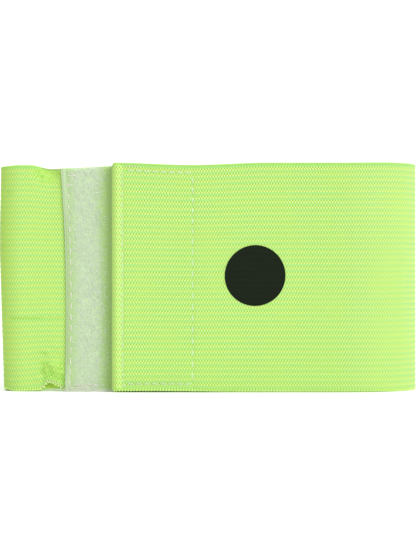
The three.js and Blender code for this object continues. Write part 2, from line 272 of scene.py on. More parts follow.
# Each sharp crease: a line of (from the patch, height) points in millimetres, its depth, half
# width and how much painted shade darkens it.
Crease = namedtuple("Crease", "line depth half_width dark")
CREASES = (
    Crease(((8.4, 9.0), (6.3, 9.3), (5.6, 7.9)), 0.1, 0.5, 0.6),
    Crease(((8.9, 6.8), (7.8, 6.6), (7.3, 5.6)), 0.12, 0.45, 0.8),
    Crease(((5.5, 7.3), (5.5, 6.1)), 0.12, 0.3, 0.8),
    Crease(((4.9, 6.1), (4.4, 5.7)), 0.12, 0.3, 0.8),
    Crease(((7.6, 4.2), (6.8, 4.8)), 0.15, 0.35, 0.9),
    Crease(((7.9, 2.4), (6.4, 4.6), (4.4, 5.4), (1.0, 4.4)), 0.0, 1.1, 0.45),
    Crease(((1.3, 71.0), (0.9, 66.0), (0.4, 55.0), (0.0, 40.0), (0.0, 12.0)), 0.0, 0.6, 0.15),
    Crease(((7.8, 3.8), (8.3, 1.1)), 0.2, 0.6, 0.5),
    Crease(((9.2, 12.9), (6.9, 12.9)), 0.12, 0.4, 0.9),
    Crease(((0.95, 5.1), (0.3, 1.1)), 0.25, 0.7, 0.85),
    Crease(((0.7, 10.0), (0.1, 8.6)), 0.15, 0.4, 0.6),
    Crease(((9.4, 72.6), (8.0, 71.0)), 0.18, 0.4, 0.5),
    Crease(((2.9, 73.0), (2.9, 71.0)), 0.1, 0.22, 0.35),
    Crease(((19.0, 24.1), (13.0, 24.05), (8.1, 24.1)), 0.1, 0.45, 1.0),
    Crease(((8.0, 24.1), (0.8, 24.0)), 0.06, 0.4, 0.5),
    Crease(((19.3, 66.3), (18.7, 65.0)), 0.12, 0.35, 1.0),
    Crease(((8.6, 12.9), (7.0, 12.6)), 0.05, 0.5, 0.8),
    Crease(((9.0, 6.2), (7.4, 5.9)), 0.05, 0.5, 0.8),
    Crease(((6.2, 6.4), (4.6, 5.7)), 0.08, 0.45, 0.9),
    Crease(((7.9, 9.2), (7.2, 8.2), (8.4, 7.0)), 0.05, 0.6, 0.7),
    Crease(((1.6, 9.8), (1.2, 7.4)), 0.05, 0.5, 0.6),
)

# Soft zones where the dots fade out of the weave, as bulges with the fading instead of the height.
SMOOTH_ZONES = (
    Bulge(from_patch=5.6, up=72.6, reach=4.0, rise=2.6, out=1.8),
    Bulge(from_patch=3.9, up=8.3, reach=2.9, rise=1.7, out=0.95),
    Bulge(from_patch=6.8, up=6.5, reach=1.1, rise=1.4, out=0.7),
    Bulge(from_patch=4.4, up=4.9, reach=3.8, rise=1.8, out=0.7),
    Bulge(from_patch=1.4, up=6.5, reach=2.4, rise=3.0, out=0.5),
    Bulge(from_patch=3.4, up=12.0, reach=3.6, rise=2.2, out=0.45),
    Bulge(from_patch=7.6, up=9.4, reach=1.6, rise=1.9, out=0.5),
    Bulge(from_patch=4.0, up=71.0, reach=4.6, rise=2.0, out=0.8),
)

# The bend towards the round end, in mm along the woven strip. Each pair is a ramp: where the
# dots weaken, where a painted sheen pales the colour, and where both have gone again.
SHOULDER_BEGINS = (91.0, 98.0)
SHOULDER_SHEEN_RAMP = (77.0, 92.0)
SHOULDER_ENDS = (118.0, 106.0)
SHOULDER_SHEEN_SHARE = 0.17

# The gathered catch knots: how far they lie from the edge, and their sizes
UPPER_KNOT = (0.15 * MM, (0.42 * MM, 0.12 * MM, 0.2 * MM))
LOWER_KNOT = (0.7 * MM, (0.25 * MM, 0.26 * MM, 0.2 * MM))

# The humps of the gathered edges, as shares of the gathered length: the place of the highest
# point, the reach on the fold's side and the reach on the patch's side.
EdgeHump = namedtuple("EdgeHump", "from_patch before after")
ARCH_CROWN = EdgeHump(0.405, 0.24, 0.485)
ARCH_FOOT = EdgeHump(0.405, 0.41, 0.675)
CROWN_SHARE = 0.93
FLARE_HUMP = EdgeHump(0.33, 0.29, 0.33)
DIP_HUMP = EdgeHump(0.3, 0.52, 2.0)
TILT_HUMP = EdgeHump(0.36, 0.5, 0.36)
SLOPE_STEP = 0.05 * MM
SEEN_FROM = 0.55


def smoothstep(value, low, high):
    """0 below low, 1 above high and smooth between them"""
    share = min(max((value - low) / (high - low), 0.0), 1.0)
    return share * share * (3 - 2 * share)


def hump(place, centre, below, above):
    """A smooth hump of height 1 that falls to 0 at its reach on either side"""
    distance = place - centre
    reach = below if distance < 0 else above
    return 0.5 * (1 + math.cos(math.pi * min(abs(distance) / reach, 1)))


def distance_to_line(across, up, line):
    """The distance from a point to a line of (from the patch, height) points in millimetres"""
    place = Vector((across, up))
    nearest = math.inf
    for first, second in zip(line, line[1:]):
        start = Vector(first)
        run = Vector(second) - start
        share = min(max((place - start).dot(run) / run.length_squared, 0.0), 1.0)
        nearest = min(nearest, (place - start - run * share).length)
    return nearest


class StripShape:
    """Where the webbing lies: maps (travelled, share across, inward) to a place in the frame"""

    def __init__(self, scene):
        self.webbing = scene.armband_webbing
        self.loop = scene.armband_loop_shape
        self.closure = scene.armband_closure
        self.gather = scene.armband_gather
        self.stitch = scene.armband_stitch
        self.width = self.webbing.width
        self.thickness = self.webbing.thickness
        self.hem_thickness = 2 * self.thickness + self.closure.fold_gap
        self.lay_out()

    def lay_out(self):
        """Works out the outline's stretches from the loop's sizes"""
        loop = self.loop
        left = BAND_LOW.x
        right = left + loop.overall
        inner_front = LOOP_HIGH.y - loop.front + self.closure.layer_gap
        self.inner_front = inner_front
        round_x = right - loop.round_radius
        easy = loop.shoulder_radius - loop.round_radius
        shoulder_x = round_x - easy * math.sin(loop.shoulder_turn)
        round_depth = loop.shoulder_radius - easy * math.cos(loop.shoulder_turn)
        pressed_x = left + loop.pressed_radius
        slack = loop.pressed_shoulder_radius - loop.pressed_radius
        pressed_shoulder_x = pressed_x + slack * math.sin(loop.pressed_shoulder_turn)
        pressed_depth = (
            inner_front + loop.pressed_shoulder_radius - slack * math.cos(loop.pressed_shoulder_turn)
        )
        self.hem_edge = HOOK_LOW.x - self.closure.layer_gap - self.closure.hem_length
        self.patch_edge = pressed_shoulder_x + self.gather.reach
        apart_x = round_x - pressed_x
        apart_depth = round_depth - pressed_depth
        wider = loop.round_radius - loop.pressed_radius
        back_length = math.sqrt(apart_x**2 + apart_depth**2 - wider**2)
        back_heading = (
            math.pi
            + math.atan2(apart_depth, apart_x)
            + math.asin(wider / math.hypot(apart_x, apart_depth))
        )
        fold_radius = self.hem_thickness / 2
        inner_end = LOOP_HIGH.x + 1 * MM
        turn_in = 2 * math.pi - loop.pressed_shoulder_turn

        self.stretches = []
        self.end_state = Station(
            self.hem_edge + self.closure.hem_length, self.hem_thickness, -math.pi
        )
        self.travelled = 0.0
        self.add_straight(self.closure.hem_length - fold_radius)
        self.hem_start = self.travelled
        self.add_arc(fold_radius, 0.0)
        self.front_start = self.travelled
        self.add_straight(shoulder_x - self.hem_edge - fold_radius)
        self.shoulder_start = self.travelled
        self.add_arc(loop.shoulder_radius, loop.shoulder_turn)
        self.round_start = self.travelled
        self.add_arc(loop.round_radius, back_heading)
        self.back_start = self.travelled
        self.add_straight(back_length, loop.back_bow)
        self.pressed_start = self.travelled
        self.add_arc(loop.pressed_radius, turn_in)
        self.add_arc(loop.pressed_shoulder_radius, 2 * math.pi)
        self.gather_start = self.travelled
        self.add_straight(self.gather.reach)
        self.patch_start = self.travelled
        self.add_straight(inner_end - self.patch_edge)
        self.end = self.travelled

    def add_straight(self, run, bow=0.0):
        """Adds a straight stretch, which may bow outwards in the middle"""
        start = self.end_state
        self.stretches.append(Stretch(self.travelled, run, start, None, bow))
        self.end_state = Station(
            start.x + math.cos(start.heading) * run,
            start.depth + math.sin(start.heading) * run,
            start.heading,
        )
        self.travelled += run

    def add_arc(self, radius, heading):
        """Adds a round stretch that turns to a heading about a centre on the inner side"""
        start = self.end_state
        run = radius * (heading - start.heading)
        stretch = Stretch(self.travelled, run, start, radius, 0.0)
        self.stretches.append(stretch)
        self.end_state = self.on_stretch(stretch, run)
        self.travelled += run

    @staticmethod
    def on_stretch(stretch, along):
        """The station at a distance along one stretch"""
        start = stretch.start
        if stretch.radius is None:
            share = along / stretch.length
            outward = stretch.bow * math.sin(math.pi * share) ** 2
            slope = stretch.bow * math.pi / stretch.length * math.sin(2 * math.pi * share)
            return Station(
                start.x + math.cos(start.heading) * along + math.sin(start.heading) * outward,
                start.depth + math.sin(start.heading) * along - math.cos(start.heading) * outward,
                start.heading - math.atan(slope),
            )
        heading = start.heading + along / stretch.radius
        return Station(
            start.x + stretch.radius * (math.sin(heading) - math.sin(start.heading)),
            start.depth - stretch.radius * (math.cos(heading) - math.cos(start.heading)),
            heading,
        )

    def station(self, travelled):
        """The outline's place and heading at a travelled length"""
        chosen = self.stretches[0]
        for stretch in self.stretches:
            if travelled >= stretch.begins:
                chosen = stretch
        return self.on_stretch(chosen, travelled - chosen.begins)

    def edge_hump(self, shape, from_patch):
        """An edge hump's height at a distance from the loop patch"""
        reach = self.gather.reach
        return hump(from_patch, shape.from_patch * reach, shape.after * reach, shape.before * reach)

    def gathered_top(self, from_patch):
        """The webbing's upper edge near the gathers"""
        under_tab = 0.65 * MM * smoothstep(-from_patch, 15.5 * MM, 22 * MM)
        return self.width - self.gather.top_dip * self.edge_hump(DIP_HUMP, from_patch) - under_tab

    def plain_edges(self, travelled):
        """The heights of the lower and upper edge before anything pulls at them"""
        closure = self.closure
        into_round = smoothstep(travelled, self.shoulder_start, self.round_start)
        along_back = smoothstep(travelled, self.back_start, self.pressed_start - 20 * MM)
        lower = closure.tab_lift * (1 - into_round)
        raised = closure.tab_lift + closure.tab_spread + closure.end_spread * into_round
        return lower, self.width + raised * (1 - along_back) - closure.inner_draw * along_back

    def edge_pulls(self, station, travelled):
        """What lifts the lower edge and what lowers the upper one, each with its fading depth"""
        gather = self.gather
        lower = []
        upper = []
        if travelled < self.shoulder_start:
            reach = self.closure.tab_sag_reach
            from_hem = station.x - self.hem_edge
            sag = self.closure.tab_sag * hump(from_hem, self.closure.tab_sag_centre, reach, reach)
            upper.append((sag, 80 * MM))
            near_hem = hump(from_hem, 14 * MM, 30 * MM, 26 * MM)
            lower.append((0.2 * MM * near_hem, 12 * MM))
            outside = 1 - min(max(from_hem, 0.0) / self.closure.hem_corner_run, 1.0)
            corner = self.closure.hem_corner * (1 - math.sqrt(1 - outside**2))
            lower.append((corner, 3 * MM))
            upper.append((corner, 3 * MM))
        elif travelled > self.back_start:
            from_fold = self.pressed_start - travelled
            behind = hump(from_fold, 13.5 * MM, 11 * MM, 11 * MM)
            upper.append((gather.back_dip * behind, 20 * MM))
            lower.append((0.7 * MM * behind, 8 * MM))
            middle = (self.gather_start + self.pressed_start) / 2
            upper.append((0.35 * MM * hump(travelled, middle, 7 * MM, 7 * MM), 8 * MM))
            lower.append((0.85 * MM * hump(travelled, middle, 4.8 * MM, 4.8 * MM), 5 * MM))
            from_patch = self.patch_start - travelled
            crown = CROWN_SHARE * self.edge_hump(ARCH_CROWN, from_patch)
            foot = (1 - CROWN_SHARE) * self.edge_hump(ARCH_FOOT, from_patch)
            lower.append((gather.arch_lift * (crown + foot), gather.arch_depth))
            upper.append((self.width - self.gathered_top(from_patch), gather.top_depth))
        return lower, upper

    def drawn_up(self, travelled, across):
        """How far the gathers draw up the ribs over the lower edge"""
        from_patch = self.patch_start - travelled
        if from_patch > self.patch_start - self.back_start:
            return 0.0
        along = hump(from_patch, 5 * MM, 20 * MM, 15 * MM)
        rising = 1 - math.exp(-across / (1.5 * MM))
        return self.gather.rib_lift * along * rising * math.exp(-across / self.gather.rib_lift_height)

    def height_at(self, station, travelled, share):
        """The height of a place across the webbing"""
        low, high = self.plain_edges(travelled)
        height = low + (high - low) * share + self.drawn_up(travelled, self.width * share)
        lower, upper = self.edge_pulls(station, travelled)
        for shift, depth in lower:
            height += shift * max(0.0, 1 - self.width * share / depth) ** 2
        for shift, depth in upper:
            height -= shift * max(0.0, 1 - self.width * (1 - share) / depth) ** 2
        return height

    def zone(self, zones, from_patch, height):
        """The summed soft patches of a table, in millimetres, at a place beside the loop patch"""
        total = 0.0
        for zone in zones:
            across = (from_patch / MM - zone.from_patch) / zone.reach
            upward = (height / MM - zone.up) / zone.rise
            total += zone.out * math.exp(-(across**2) - upward**2)
        return total

    def pucker_out(self, from_patch, height):
        """How far the gathered webbing stands out of its plain outline"""
        if from_patch <= 0 or from_patch > 2 * self.gather.reach:
            return 0.0
        gather = self.gather
        out = MM * self.zone(BULGES, from_patch, height)
        for crease in CREASES:
            away = distance_to_line(from_patch / MM, height / MM, crease.line) / crease.half_width
            out -= crease.depth * MM * math.exp(-(away**2))
        flare = gather.flare * self.edge_hump(FLARE_HUMP, from_patch)
        flare *= math.exp(-height / gather.flare_height)
        tilt = gather.top_tilt * self.edge_hump(TILT_HUMP, from_patch)
        tilt *= math.exp(-(self.width - height) / gather.top_tilt_height)
        return smoothstep(from_patch, 0, gather.fade) * (out + flare - tilt)

    def lean(self, travelled, height):
        """How far the pressed end leans in at a height"""
        gather = self.gather
        along_back = smoothstep(
            travelled, self.pressed_start - gather.fold_lean_fade, self.pressed_start
        )
        along_gather = smoothstep(self.patch_start - travelled, 0, gather.reach)
        foot = gather.fold_lean * max(0.0, 1 - height / gather.fold_lean_height)
        top = gather.fold_top_lean * smoothstep(height, 50 * MM, self.width)
        return (foot + top) * min(along_back, along_gather)

    def pinch(self, travelled, height):
        """How far the foot of the back is pressed in behind the gathers"""
        from_fold = self.pressed_start - travelled
        if from_fold < 0:
            return 0.0
        along = smoothstep(from_fold, 0.5 * MM, 8.5 * MM)
        along *= 1 - smoothstep(from_fold, 16 * MM, 36 * MM)
        upward = 1 - smoothstep(height, 0, self.gather.pinch_height)
        apart = self.station(travelled).depth - self.thickness - self.inner_front - self.thickness
        return max(apart - self.gather.pinch_gap, 0.0) * along * upward

    def point(self, travelled, share, inward=0.0):
        """A place in the webbing, and the way that its outer face looks there"""
        station = self.station(travelled)
        height = self.height_at(station, travelled, share)
        from_patch = self.patch_start - travelled
        out = self.pucker_out(from_patch, height)
        look = Vector((math.sin(station.heading), -math.cos(station.heading), 0.0))
        run = Vector((math.cos(station.heading), math.sin(station.heading), 0.0))
        normal = look
        if 0 < from_patch < 2 * self.gather.reach:
            along = (self.pucker_out(from_patch - SLOPE_STEP, height) - out) / SLOPE_STEP
            upward = (self.pucker_out(from_patch, height + SLOPE_STEP) - out) / SLOPE_STEP
            normal = (look - run * along - Vector((0, 0, upward))).normalized()
        place = Vector((station.x, self.loop.front + station.depth, height))
        place += look * (out - self.pinch(travelled, height))
        place.x += self.lean(travelled, height)
        return place - normal * inward, normal

    def hem_travel(self, from_hem):
        """The travelled length at a distance from the hem's fold along the front"""
        return self.front_start + from_hem - self.hem_thickness / 2

    def front_travel(self, x):
        """The travelled length at a place along the front"""
        return self.hem_travel(x - self.hem_edge)

    def patch_travel(self, x):
        """The travelled length at a place along the inner end"""
        return self.patch_start + x - self.patch_edge

    def share_at(self, across):
        """The share across the webbing at a distance from its lower selvage"""
        return across / self.width


def rib_relief(settings, across):
    """How far the woven ribs stand over or under the webbing's mean face"""
    phase = (across - settings.first_rib) / settings.rib_pitch
    return 0.5 * settings.rib_height * math.cos(2 * math.pi * phase)


def sewn_relief(shape, travelled, across):
    """How the stitch lines pull the tab in, and how the hem swells beside them"""
    stitch = shape.stitch
    if travelled > shape.hem_travel(stitch.box_column + 4 * MM) or travelled < shape.front_start:
        return 0.0
    from_hem = travelled - shape.front_start + shape.hem_thickness / 2
    pull = 0.14 * MM
    reach = 0.55 * MM
    lines = [from_hem - stitch.hem_line, from_hem - stitch.box_column]
    if stitch.box_start - reach < from_hem < stitch.box_column + reach:
        lines.append(across - stitch.box_row)
        lines.append(shape.width - across - stitch.box_row)
    sunk = max(math.exp(-((line / reach) ** 2)) for line in lines)
    puff = shape.closure.hem_puff * hump(from_hem, stitch.hem_line / 2, stitch.hem_line / 2, 1.6 * MM)
    return puff - pull * sunk


def spaced(start, end, spacing):
    """Evenly spaced places from start to end, about spacing apart, without the end"""
    count = max(1, round((end - start) / spacing))
    return [start + (end - start) * step / count for step in range(count)]


def finish_piece(name, bm, materials, smooth_angle=None):
    """Makes a named object of a bmesh, with its materials, riding on the part's body"""
    mesh = bpy.data.meshes.new(name)
    bm.to_mesh(mesh)
    bm.free()
    for polygon in mesh.polygons:
        polygon.use_smooth = True
    if smooth_angle is not None:
        mesh.set_sharp_from_angle(angle=math.radians(smooth_angle))
    for material in materials:
        mesh.materials.append(material)
    piece = bpy.data.objects.new(name, mesh)
    bpy.context.scene.collection.objects.link(piece)
    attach(piece, BODY)
    return piece


def slab(columns, rows):
    """A flat slab of squares: (column, row, side) for each vertex, where side 1 is the inner face"""
    bm = bmesh.new()
    bm.loops.layers.uv.new("Weave")
    bm.verts.layers.float.new("smooth_weave")
    bm.verts.layers.float.new("crease")
    bm.verts.layers.float.new("fold")
    bmesh.ops.create_grid(bm, x_segments=columns, y_segments=rows, size=0.5)
    made = bmesh.ops.extrude_face_region(bm, geom=bm.faces[:])
    inner = [item for item in made["geom"] if isinstance(item, bmesh.types.BMVert)]
    bmesh.ops.translate(bm, verts=inner, vec=(0, 0, 1))
    places = {}
    for vert in bm.verts:
        column = round((vert.co.x + 0.5) * columns)
        row = round((vert.co.y + 0.5) * rows)
        places[vert] = (column, row, round(vert.co.z))
    return bm, places


def woven_lengths(shape, along):
    """The unstretched length at each travelled length: the right shoulder is drawn out"""
    least = 0.82
    lengths = [along[0]]
    for start, end in zip(along, along[1:]):
        station = shape.station((start + end) / 2)
        seen = math.cos(station.heading) / (1 + station.depth / SEEN_FROM)
        past = smoothstep(station.heading, math.radians(60), math.radians(105))
        drawn_out = shape.shoulder_start < start < shape.back_start
        rate = 1 - (1 - max(seen, least)) * (1 - past) if drawn_out else 1.0
        lengths.append(lengths[-1] + (end - start) * rate)
    return lengths


def woven_place(shape, travelled):
    """The unstretched length at one travelled length"""
    along = spaced(0, travelled, 1.0 * MM) + [travelled]
    return woven_lengths(shape, along)[-1]


def add_pattern_map(bm, places, along, across):
    """Lays the woven lengths in millimetres into a UV map named Weave"""
    layer = bm.loops.layers.uv["Weave"]
    for face in bm.faces:
        for loop in face.loops:
            column, row, side = places[loop.vert]
            loop[layer].uv = (along[column] / MM, across[row] / MM)


def webbing_mesh(shape):
    """The webbing: a flat ribbed slab, wrapped along the loop's outline"""
    settings = shape.webbing
    along = []
    along += spaced(0, shape.hem_start, 0.7 * MM)
    along += spaced(shape.hem_start, shape.front_start, 0.45 * MM)
    along += spaced(shape.front_start, shape.hem_travel(6 * MM), 0.35 * MM)
    along += spaced(shape.hem_travel(6 * MM), shape.hem_travel(25.4 * MM), 2.4 * MM)
    along += spaced(shape.hem_travel(25.4 * MM), shape.hem_travel(28 * MM), 0.5 * MM)
    along += spaced(shape.hem_travel(28 * MM), shape.shoulder_start, 4 * MM)
    along += spaced(shape.shoulder_start, shape.round_start, 2.6 * MM)
    along += spaced(shape.round_start, shape.back_start, 1.9 * MM)
    along += spaced(shape.back_start, shape.pressed_start - 38 * MM, 6 * MM)
    along += spaced(shape.pressed_start - 38 * MM, shape.pressed_start, 1.7 * MM)
    along += spaced(shape.pressed_start, shape.gather_start, 0.8 * MM)
    along += spaced(shape.gather_start, shape.patch_start, 0.36 * MM)
    along += spaced(shape.patch_start, shape.end, 5 * MM)
    along.append(shape.end)
    steps_per_rib = 5
    rows = round(shape.width / settings.rib_pitch * steps_per_rib)
    across = [shape.width * row / rows for row in range(rows + 1)]
    bm, places = slab(len(along) - 1, rows)
    add_pattern_map(bm, places, woven_lengths(shape, along), across)
    smooth_layer = bm.verts.layers.float["smooth_weave"]
    crease_layer = bm.verts.layers.float["crease"]
    fold_layer = bm.verts.layers.float["fold"]
    selvage_inset = 0.16 * MM
    edge_round = 0.3 * MM
    for vert, (column, row, side) in places.items():
        travelled = along[column]
        flat = across[row]
        share = (selvage_inset + flat * (1 - 2 * selvage_inset / shape.width)) / shape.width
        relief = rib_relief(settings, flat)
        if row in (0, rows):
            relief = -edge_round
        if side == 0:
            inward = -relief - sewn_relief(shape, travelled, flat)
        else:
            inward = shape.thickness + relief
        vert.co = shape.point(travelled, share, inward)[0]
        # Fold mask: 1 at the pressed end and 0 from 8 mm on; it fades the dots there and carries the painted
        # shade round the pressed end
        vert[fold_layer] = 1 - smoothstep(vert.co.x - BAND_LOW.x, 0, 8 * MM)
        # The pinched inner face is marked 2, for the painted light behind the arch
        if side == 1 and shape.pinch(travelled, vert.co.z) > 1 * MM:
            vert[fold_layer] = 2.0
        from_patch = shape.patch_start - travelled
        if 0 < from_patch < 2 * shape.gather.reach:
            height = vert.co.z
            vert[smooth_layer] = min(shape.zone(SMOOTH_ZONES, from_patch, height), 1.5)
            # The crease mask: painted shade in the creases and along the loop patch's edge
            for crease in CREASES:
                away = distance_to_line(from_patch / MM, height / MM, crease.line) / crease.half_width
                vert[crease_layer] = max(vert[crease_layer], crease.dark * math.exp(-(away**2)))
    bmesh.ops.recalc_face_normals(bm, faces=bm.faces[:])
    return bm


def repeated(template, placements):
    """Copies of a small bmesh by an Array modifier, each then moved by its own matrix"""
    spacing = 4.0
    mesh = bpy.data.meshes.new("template")
    template.to_mesh(mesh)
    template.free()
    holder = bpy.data.objects.new("template", mesh)
    bpy.context.scene.collection.objects.link(holder)
    copies = holder.modifiers.new("Copies", "ARRAY")
    copies.use_relative_offset = False
    copies.use_constant_offset = True
    copies.constant_offset_displace = (spacing, 0, 0)
    copies.count = len(placements)
    evaluated = holder.evaluated_get(bpy.context.evaluated_depsgraph_get())
    bm = bmesh.new()
    bm.from_mesh(evaluated.to_mesh())
    evaluated.to_mesh_clear()
    bpy.data.objects.remove(holder)
    bpy.data.meshes.remove(mesh)
    for vert in bm.verts:
        index = round(vert.co.x / spacing)
        vert.co = placements[index] @ (vert.co - Vector((index * spacing, 0, 0)))
    return bm


def placed(centre, along, out, sizes):
    """A matrix that puts a unit shape at a centre, with X along and Z out, at its half sizes"""
    along = along.normalized()
    side = out.cross(along).normalized()
    out = along.cross(side)
    turn = Matrix((along, side, out)).transposed().to_4x4()
    scale = Matrix.Diagonal((sizes[0], sizes[1], sizes[2], 1))
    return Matrix.Translation(centre) @ turn @ scale


def ball():
    """A small unit ball"""
    bm = bmesh.new()
    bmesh.ops.create_uvsphere(bm, u_segments=8, v_segments=6, radius=1)
    return bm


def thread_arch():
    """A unit stitch: a round thread along X that arches out and dips in at both ends"""
    bm = bmesh.new()
    bmesh.ops.create_uvsphere(bm, u_segments=8, v_segments=10, radius=1)
    fullness = 0.45
    for vert in bm.verts:
        along = vert.co.z
        ring = math.hypot(vert.co.x, vert.co.y)
        wider = ring**fullness / ring if ring > 0 else 1.0
        vert.co = Vector((along, vert.co.y * wider, vert.co.x * wider - 1.6 * along**4))
    return bm


def stitch_matrix(shape, start, end, thread, lift):
    """Places one stitch between two (travelled, across) points on the webbing's outer face"""
    first, look = shape.point(start[0], shape.share_at(start[1]))
    second, _ = shape.point(end[0], shape.share_at(end[1]))
    half = (second - first).length / 2
    return placed(
        (first + second) / 2 + look * lift, second - first, look, (half, thread / 2, thread / 2)
    )


def material_with(name, base, roughness):
    """A new material, its tree's wiring and its Principled shader"""
    material = bpy.data.materials.new(name)
    material.use_nodes = True
    material.diffuse_color = (*base, 1)
    wiring = Wiring(material.node_tree)
    shader = material.node_tree.nodes["Principled BSDF"]
    shader.inputs["Base Color"].default_value = (*base, 1)
    shader.inputs["Roughness"].default_value = roughness
    shader.location = (1400, 0)
    material.node_tree.nodes["Material Output"].location = (1700, 0)
    return material, wiring, shader


class Wiring:
    """Adds nodes to one tree and links them"""

    def __init__(self, tree):
        self.tree = tree
        self.count = 0

    def add(self, kind, **settings):
        """A new node with its settings"""
        node = self.tree.nodes.new(kind)
        for name, value in settings.items():
            setattr(node, name, value)
        node.location = (self.count % 8 * 170 - 300, -(self.count // 8) * 260)
        self.count += 1
        return node

    def feed(self, socket, source):
        """Links a socket to a source, or sets it to a number or colour"""
        if isinstance(source, bpy.types.NodeSocket):
            self.tree.links.new(source, socket)
        else:
            socket.default_value = source

    def math(self, operation, *sources):
        """The result of a Math node"""
        node = self.add("ShaderNodeMath", operation=operation)
        for socket, source in zip(node.inputs, sources):
            self.feed(socket, source)
        return node.outputs[0]

    def blend(self, share, low, high):
        """The colour between two colours"""
        node = self.add("ShaderNodeMix", data_type="RGBA")
        self.feed(node.inputs[0], share)
        for socket, source in ((node.inputs[6], low), (node.inputs[7], high)):
            if not isinstance(source, bpy.types.NodeSocket):
                source = (*source, 1)
            self.feed(socket, source)
        return node.outputs[2]

    def ramp(self, value, low, high, to_low=0.0, to_high=1.0):
        """A value mapped smoothly from one range to another"""
        node = self.add("ShaderNodeMapRange", interpolation_type="SMOOTHSTEP")
        for name, source in (
            ("Value", value),
            ("From Min", low),
            ("From Max", high),
            ("To Min", to_low),
            ("To Max", to_high),
        ):
            self.feed(node.inputs[name], source)
        return node.outputs["Result"]

    def vector(self, x, y, z=0.0):
        """A vector of three values"""
        node = self.add("ShaderNodeCombineXYZ")
        for socket, source in zip(node.inputs, (x, y, z)):
            self.feed(socket, source)
        return node.outputs[0]

    def noise(self, place, scale, detail=2.0):
        """Smooth noise from 0 to 1 at a place"""
        node = self.add("ShaderNodeTexNoise")
        self.feed(node.inputs["Vector"], place)
        node.inputs["Scale"].default_value = scale
        node.inputs["Detail"].default_value = detail
        return node.outputs["Fac"]

    def bump(self, height, distance, strength, shader):
        """Feeds a height to a shader's normal"""
        node = self.add("ShaderNodeBump")
        self.feed(node.inputs["Height"], height)
        node.inputs["Distance"].default_value = distance
        node.inputs["Strength"].default_value = strength
        self.feed(shader.inputs["Normal"], node.outputs["Normal"])

    def group(self, tree, **sources):
        """A placed node group with its named inputs"""
        node = self.add("ShaderNodeGroup", node_tree=tree)
        for name, source in sources.items():
            self.feed(node.inputs[name.replace("_", " ").capitalize()], source)
        return node

    def uv(self, name):
        """A piece's own UV map"""
        return self.add("ShaderNodeUVMap", uv_map=name).outputs[0]

    def attribute(self, name):
        """A piece's own vertex attribute"""
        return self.add("ShaderNodeAttribute", attribute_name=name).outputs["Fac"]


def new_group(name, inputs, outputs):
    """A shader node group with named sockets, and its wiring"""
    tree = bpy.data.node_groups.new(name, "ShaderNodeTree")
    for socket, kind in inputs:
        tree.interface.new_socket(socket, in_out="INPUT", socket_type=kind)
    for socket, kind in outputs:
        tree.interface.new_socket(socket, in_out="OUTPUT", socket_type=kind)
    wiring = Wiring(tree)
    return tree, wiring, wiring.add("NodeGroupInput"), wiring.add("NodeGroupOutput")


def weave_group():
    """The webbing's weave: plain ribs, and between them two rows of woven dots"""
    if "Ribbed weave" in bpy.data.node_groups:
        return bpy.data.node_groups["Ribbed weave"]
    number = "NodeSocketFloat"
    tree, wiring, given, result = new_group(
        "Ribbed weave",
        (
            ("Place", "NodeSocketVector"),
            ("Rib pitch", number),
            ("First rib", number),
            ("Dot pitch", number),
        ),
        (("Field", number), ("Bright", number), ("Dark", number), ("Olive", number), ("Height", number)),
    )
    split = wiring.add("ShaderNodeSeparateXYZ")
    wiring.feed(split.inputs[0], given.outputs["Place"])
    along, across = split.outputs[0], split.outputs[1]
    ribs = wiring.math("DIVIDE", wiring.math("SUBTRACT", across, given.outputs["First rib"]),
                       given.outputs["Rib pitch"])
    rib_number = wiring.math("FLOOR", ribs)
    from_middle = wiring.math("SUBTRACT", wiring.math("FRACT", ribs), 0.5)
    row_place = wiring.math("DIVIDE", from_middle, 0.352)
    field = wiring.ramp(wiring.math("ABSOLUTE", row_place), 1.02, 0.72)
    wander = wiring.noise(
        wiring.vector(wiring.math("MULTIPLY", along, 0.05), wiring.math("MULTIPLY", rib_number, 3.7)), 1.0
    )
    dots_along = wiring.math("DIVIDE", along, given.outputs["Dot pitch"])
    shifted = wiring.math("ADD", dots_along, wiring.math("MULTIPLY", wander, 0.5))
    skewed = wiring.math("ADD", shifted, wiring.math("MULTIPLY", row_place, 0.04))
    wave = wiring.math("COSINE", wiring.math("MULTIPLY", skewed, 2 * math.pi))
    rows = wiring.math("SINE", wiring.math("MULTIPLY", row_place, -math.pi))
    dots = wiring.math("MULTIPLY", wiring.math("MULTIPLY", wave, rows), field)
    uneven = wiring.noise(
        wiring.vector(wiring.math("MULTIPLY", along, 1.1), wiring.math("MULTIPLY", across, 1.6)), 1.0
    )
    dots = wiring.math("MULTIPLY", dots, wiring.math("ADD", uneven, 0.75))
    in_upper_row = wiring.ramp(row_place, -0.15, 0.15)
    in_lower_row = wiring.math("SUBTRACT", 1.0, in_upper_row)
    raised = wiring.ramp(dots, 0.0, 0.6)
    sunk = wiring.ramp(wiring.math("MULTIPLY", dots, -1.0), 0.0, 0.55)
    weaker = wiring.math("SUBTRACT", 1.0, wiring.math("MULTIPLY", in_upper_row, 0.25))
    raised = wiring.math("MULTIPLY", raised, weaker)
    threads = wiring.math("SINE", wiring.math("MULTIPLY", dots_along, 4 * math.pi))
    on_ribs = wiring.math("MULTIPLY", threads, wiring.math("SUBTRACT", 1.0, field))
    height = wiring.math("ADD", wiring.math("MULTIPLY", dots, 0.5), 0.5)
    height = wiring.math("ADD", height, wiring.math("MULTIPLY", on_ribs, 0.1))
    wiring.feed(result.inputs["Field"], field)
    wiring.feed(result.inputs["Bright"], raised)
    wiring.feed(result.inputs["Dark"], wiring.math("MULTIPLY", sunk, in_upper_row))
    wiring.feed(result.inputs["Olive"], wiring.math("MULTIPLY", sunk, in_lower_row))
    wiring.feed(result.inputs["Height"], height)
    return tree


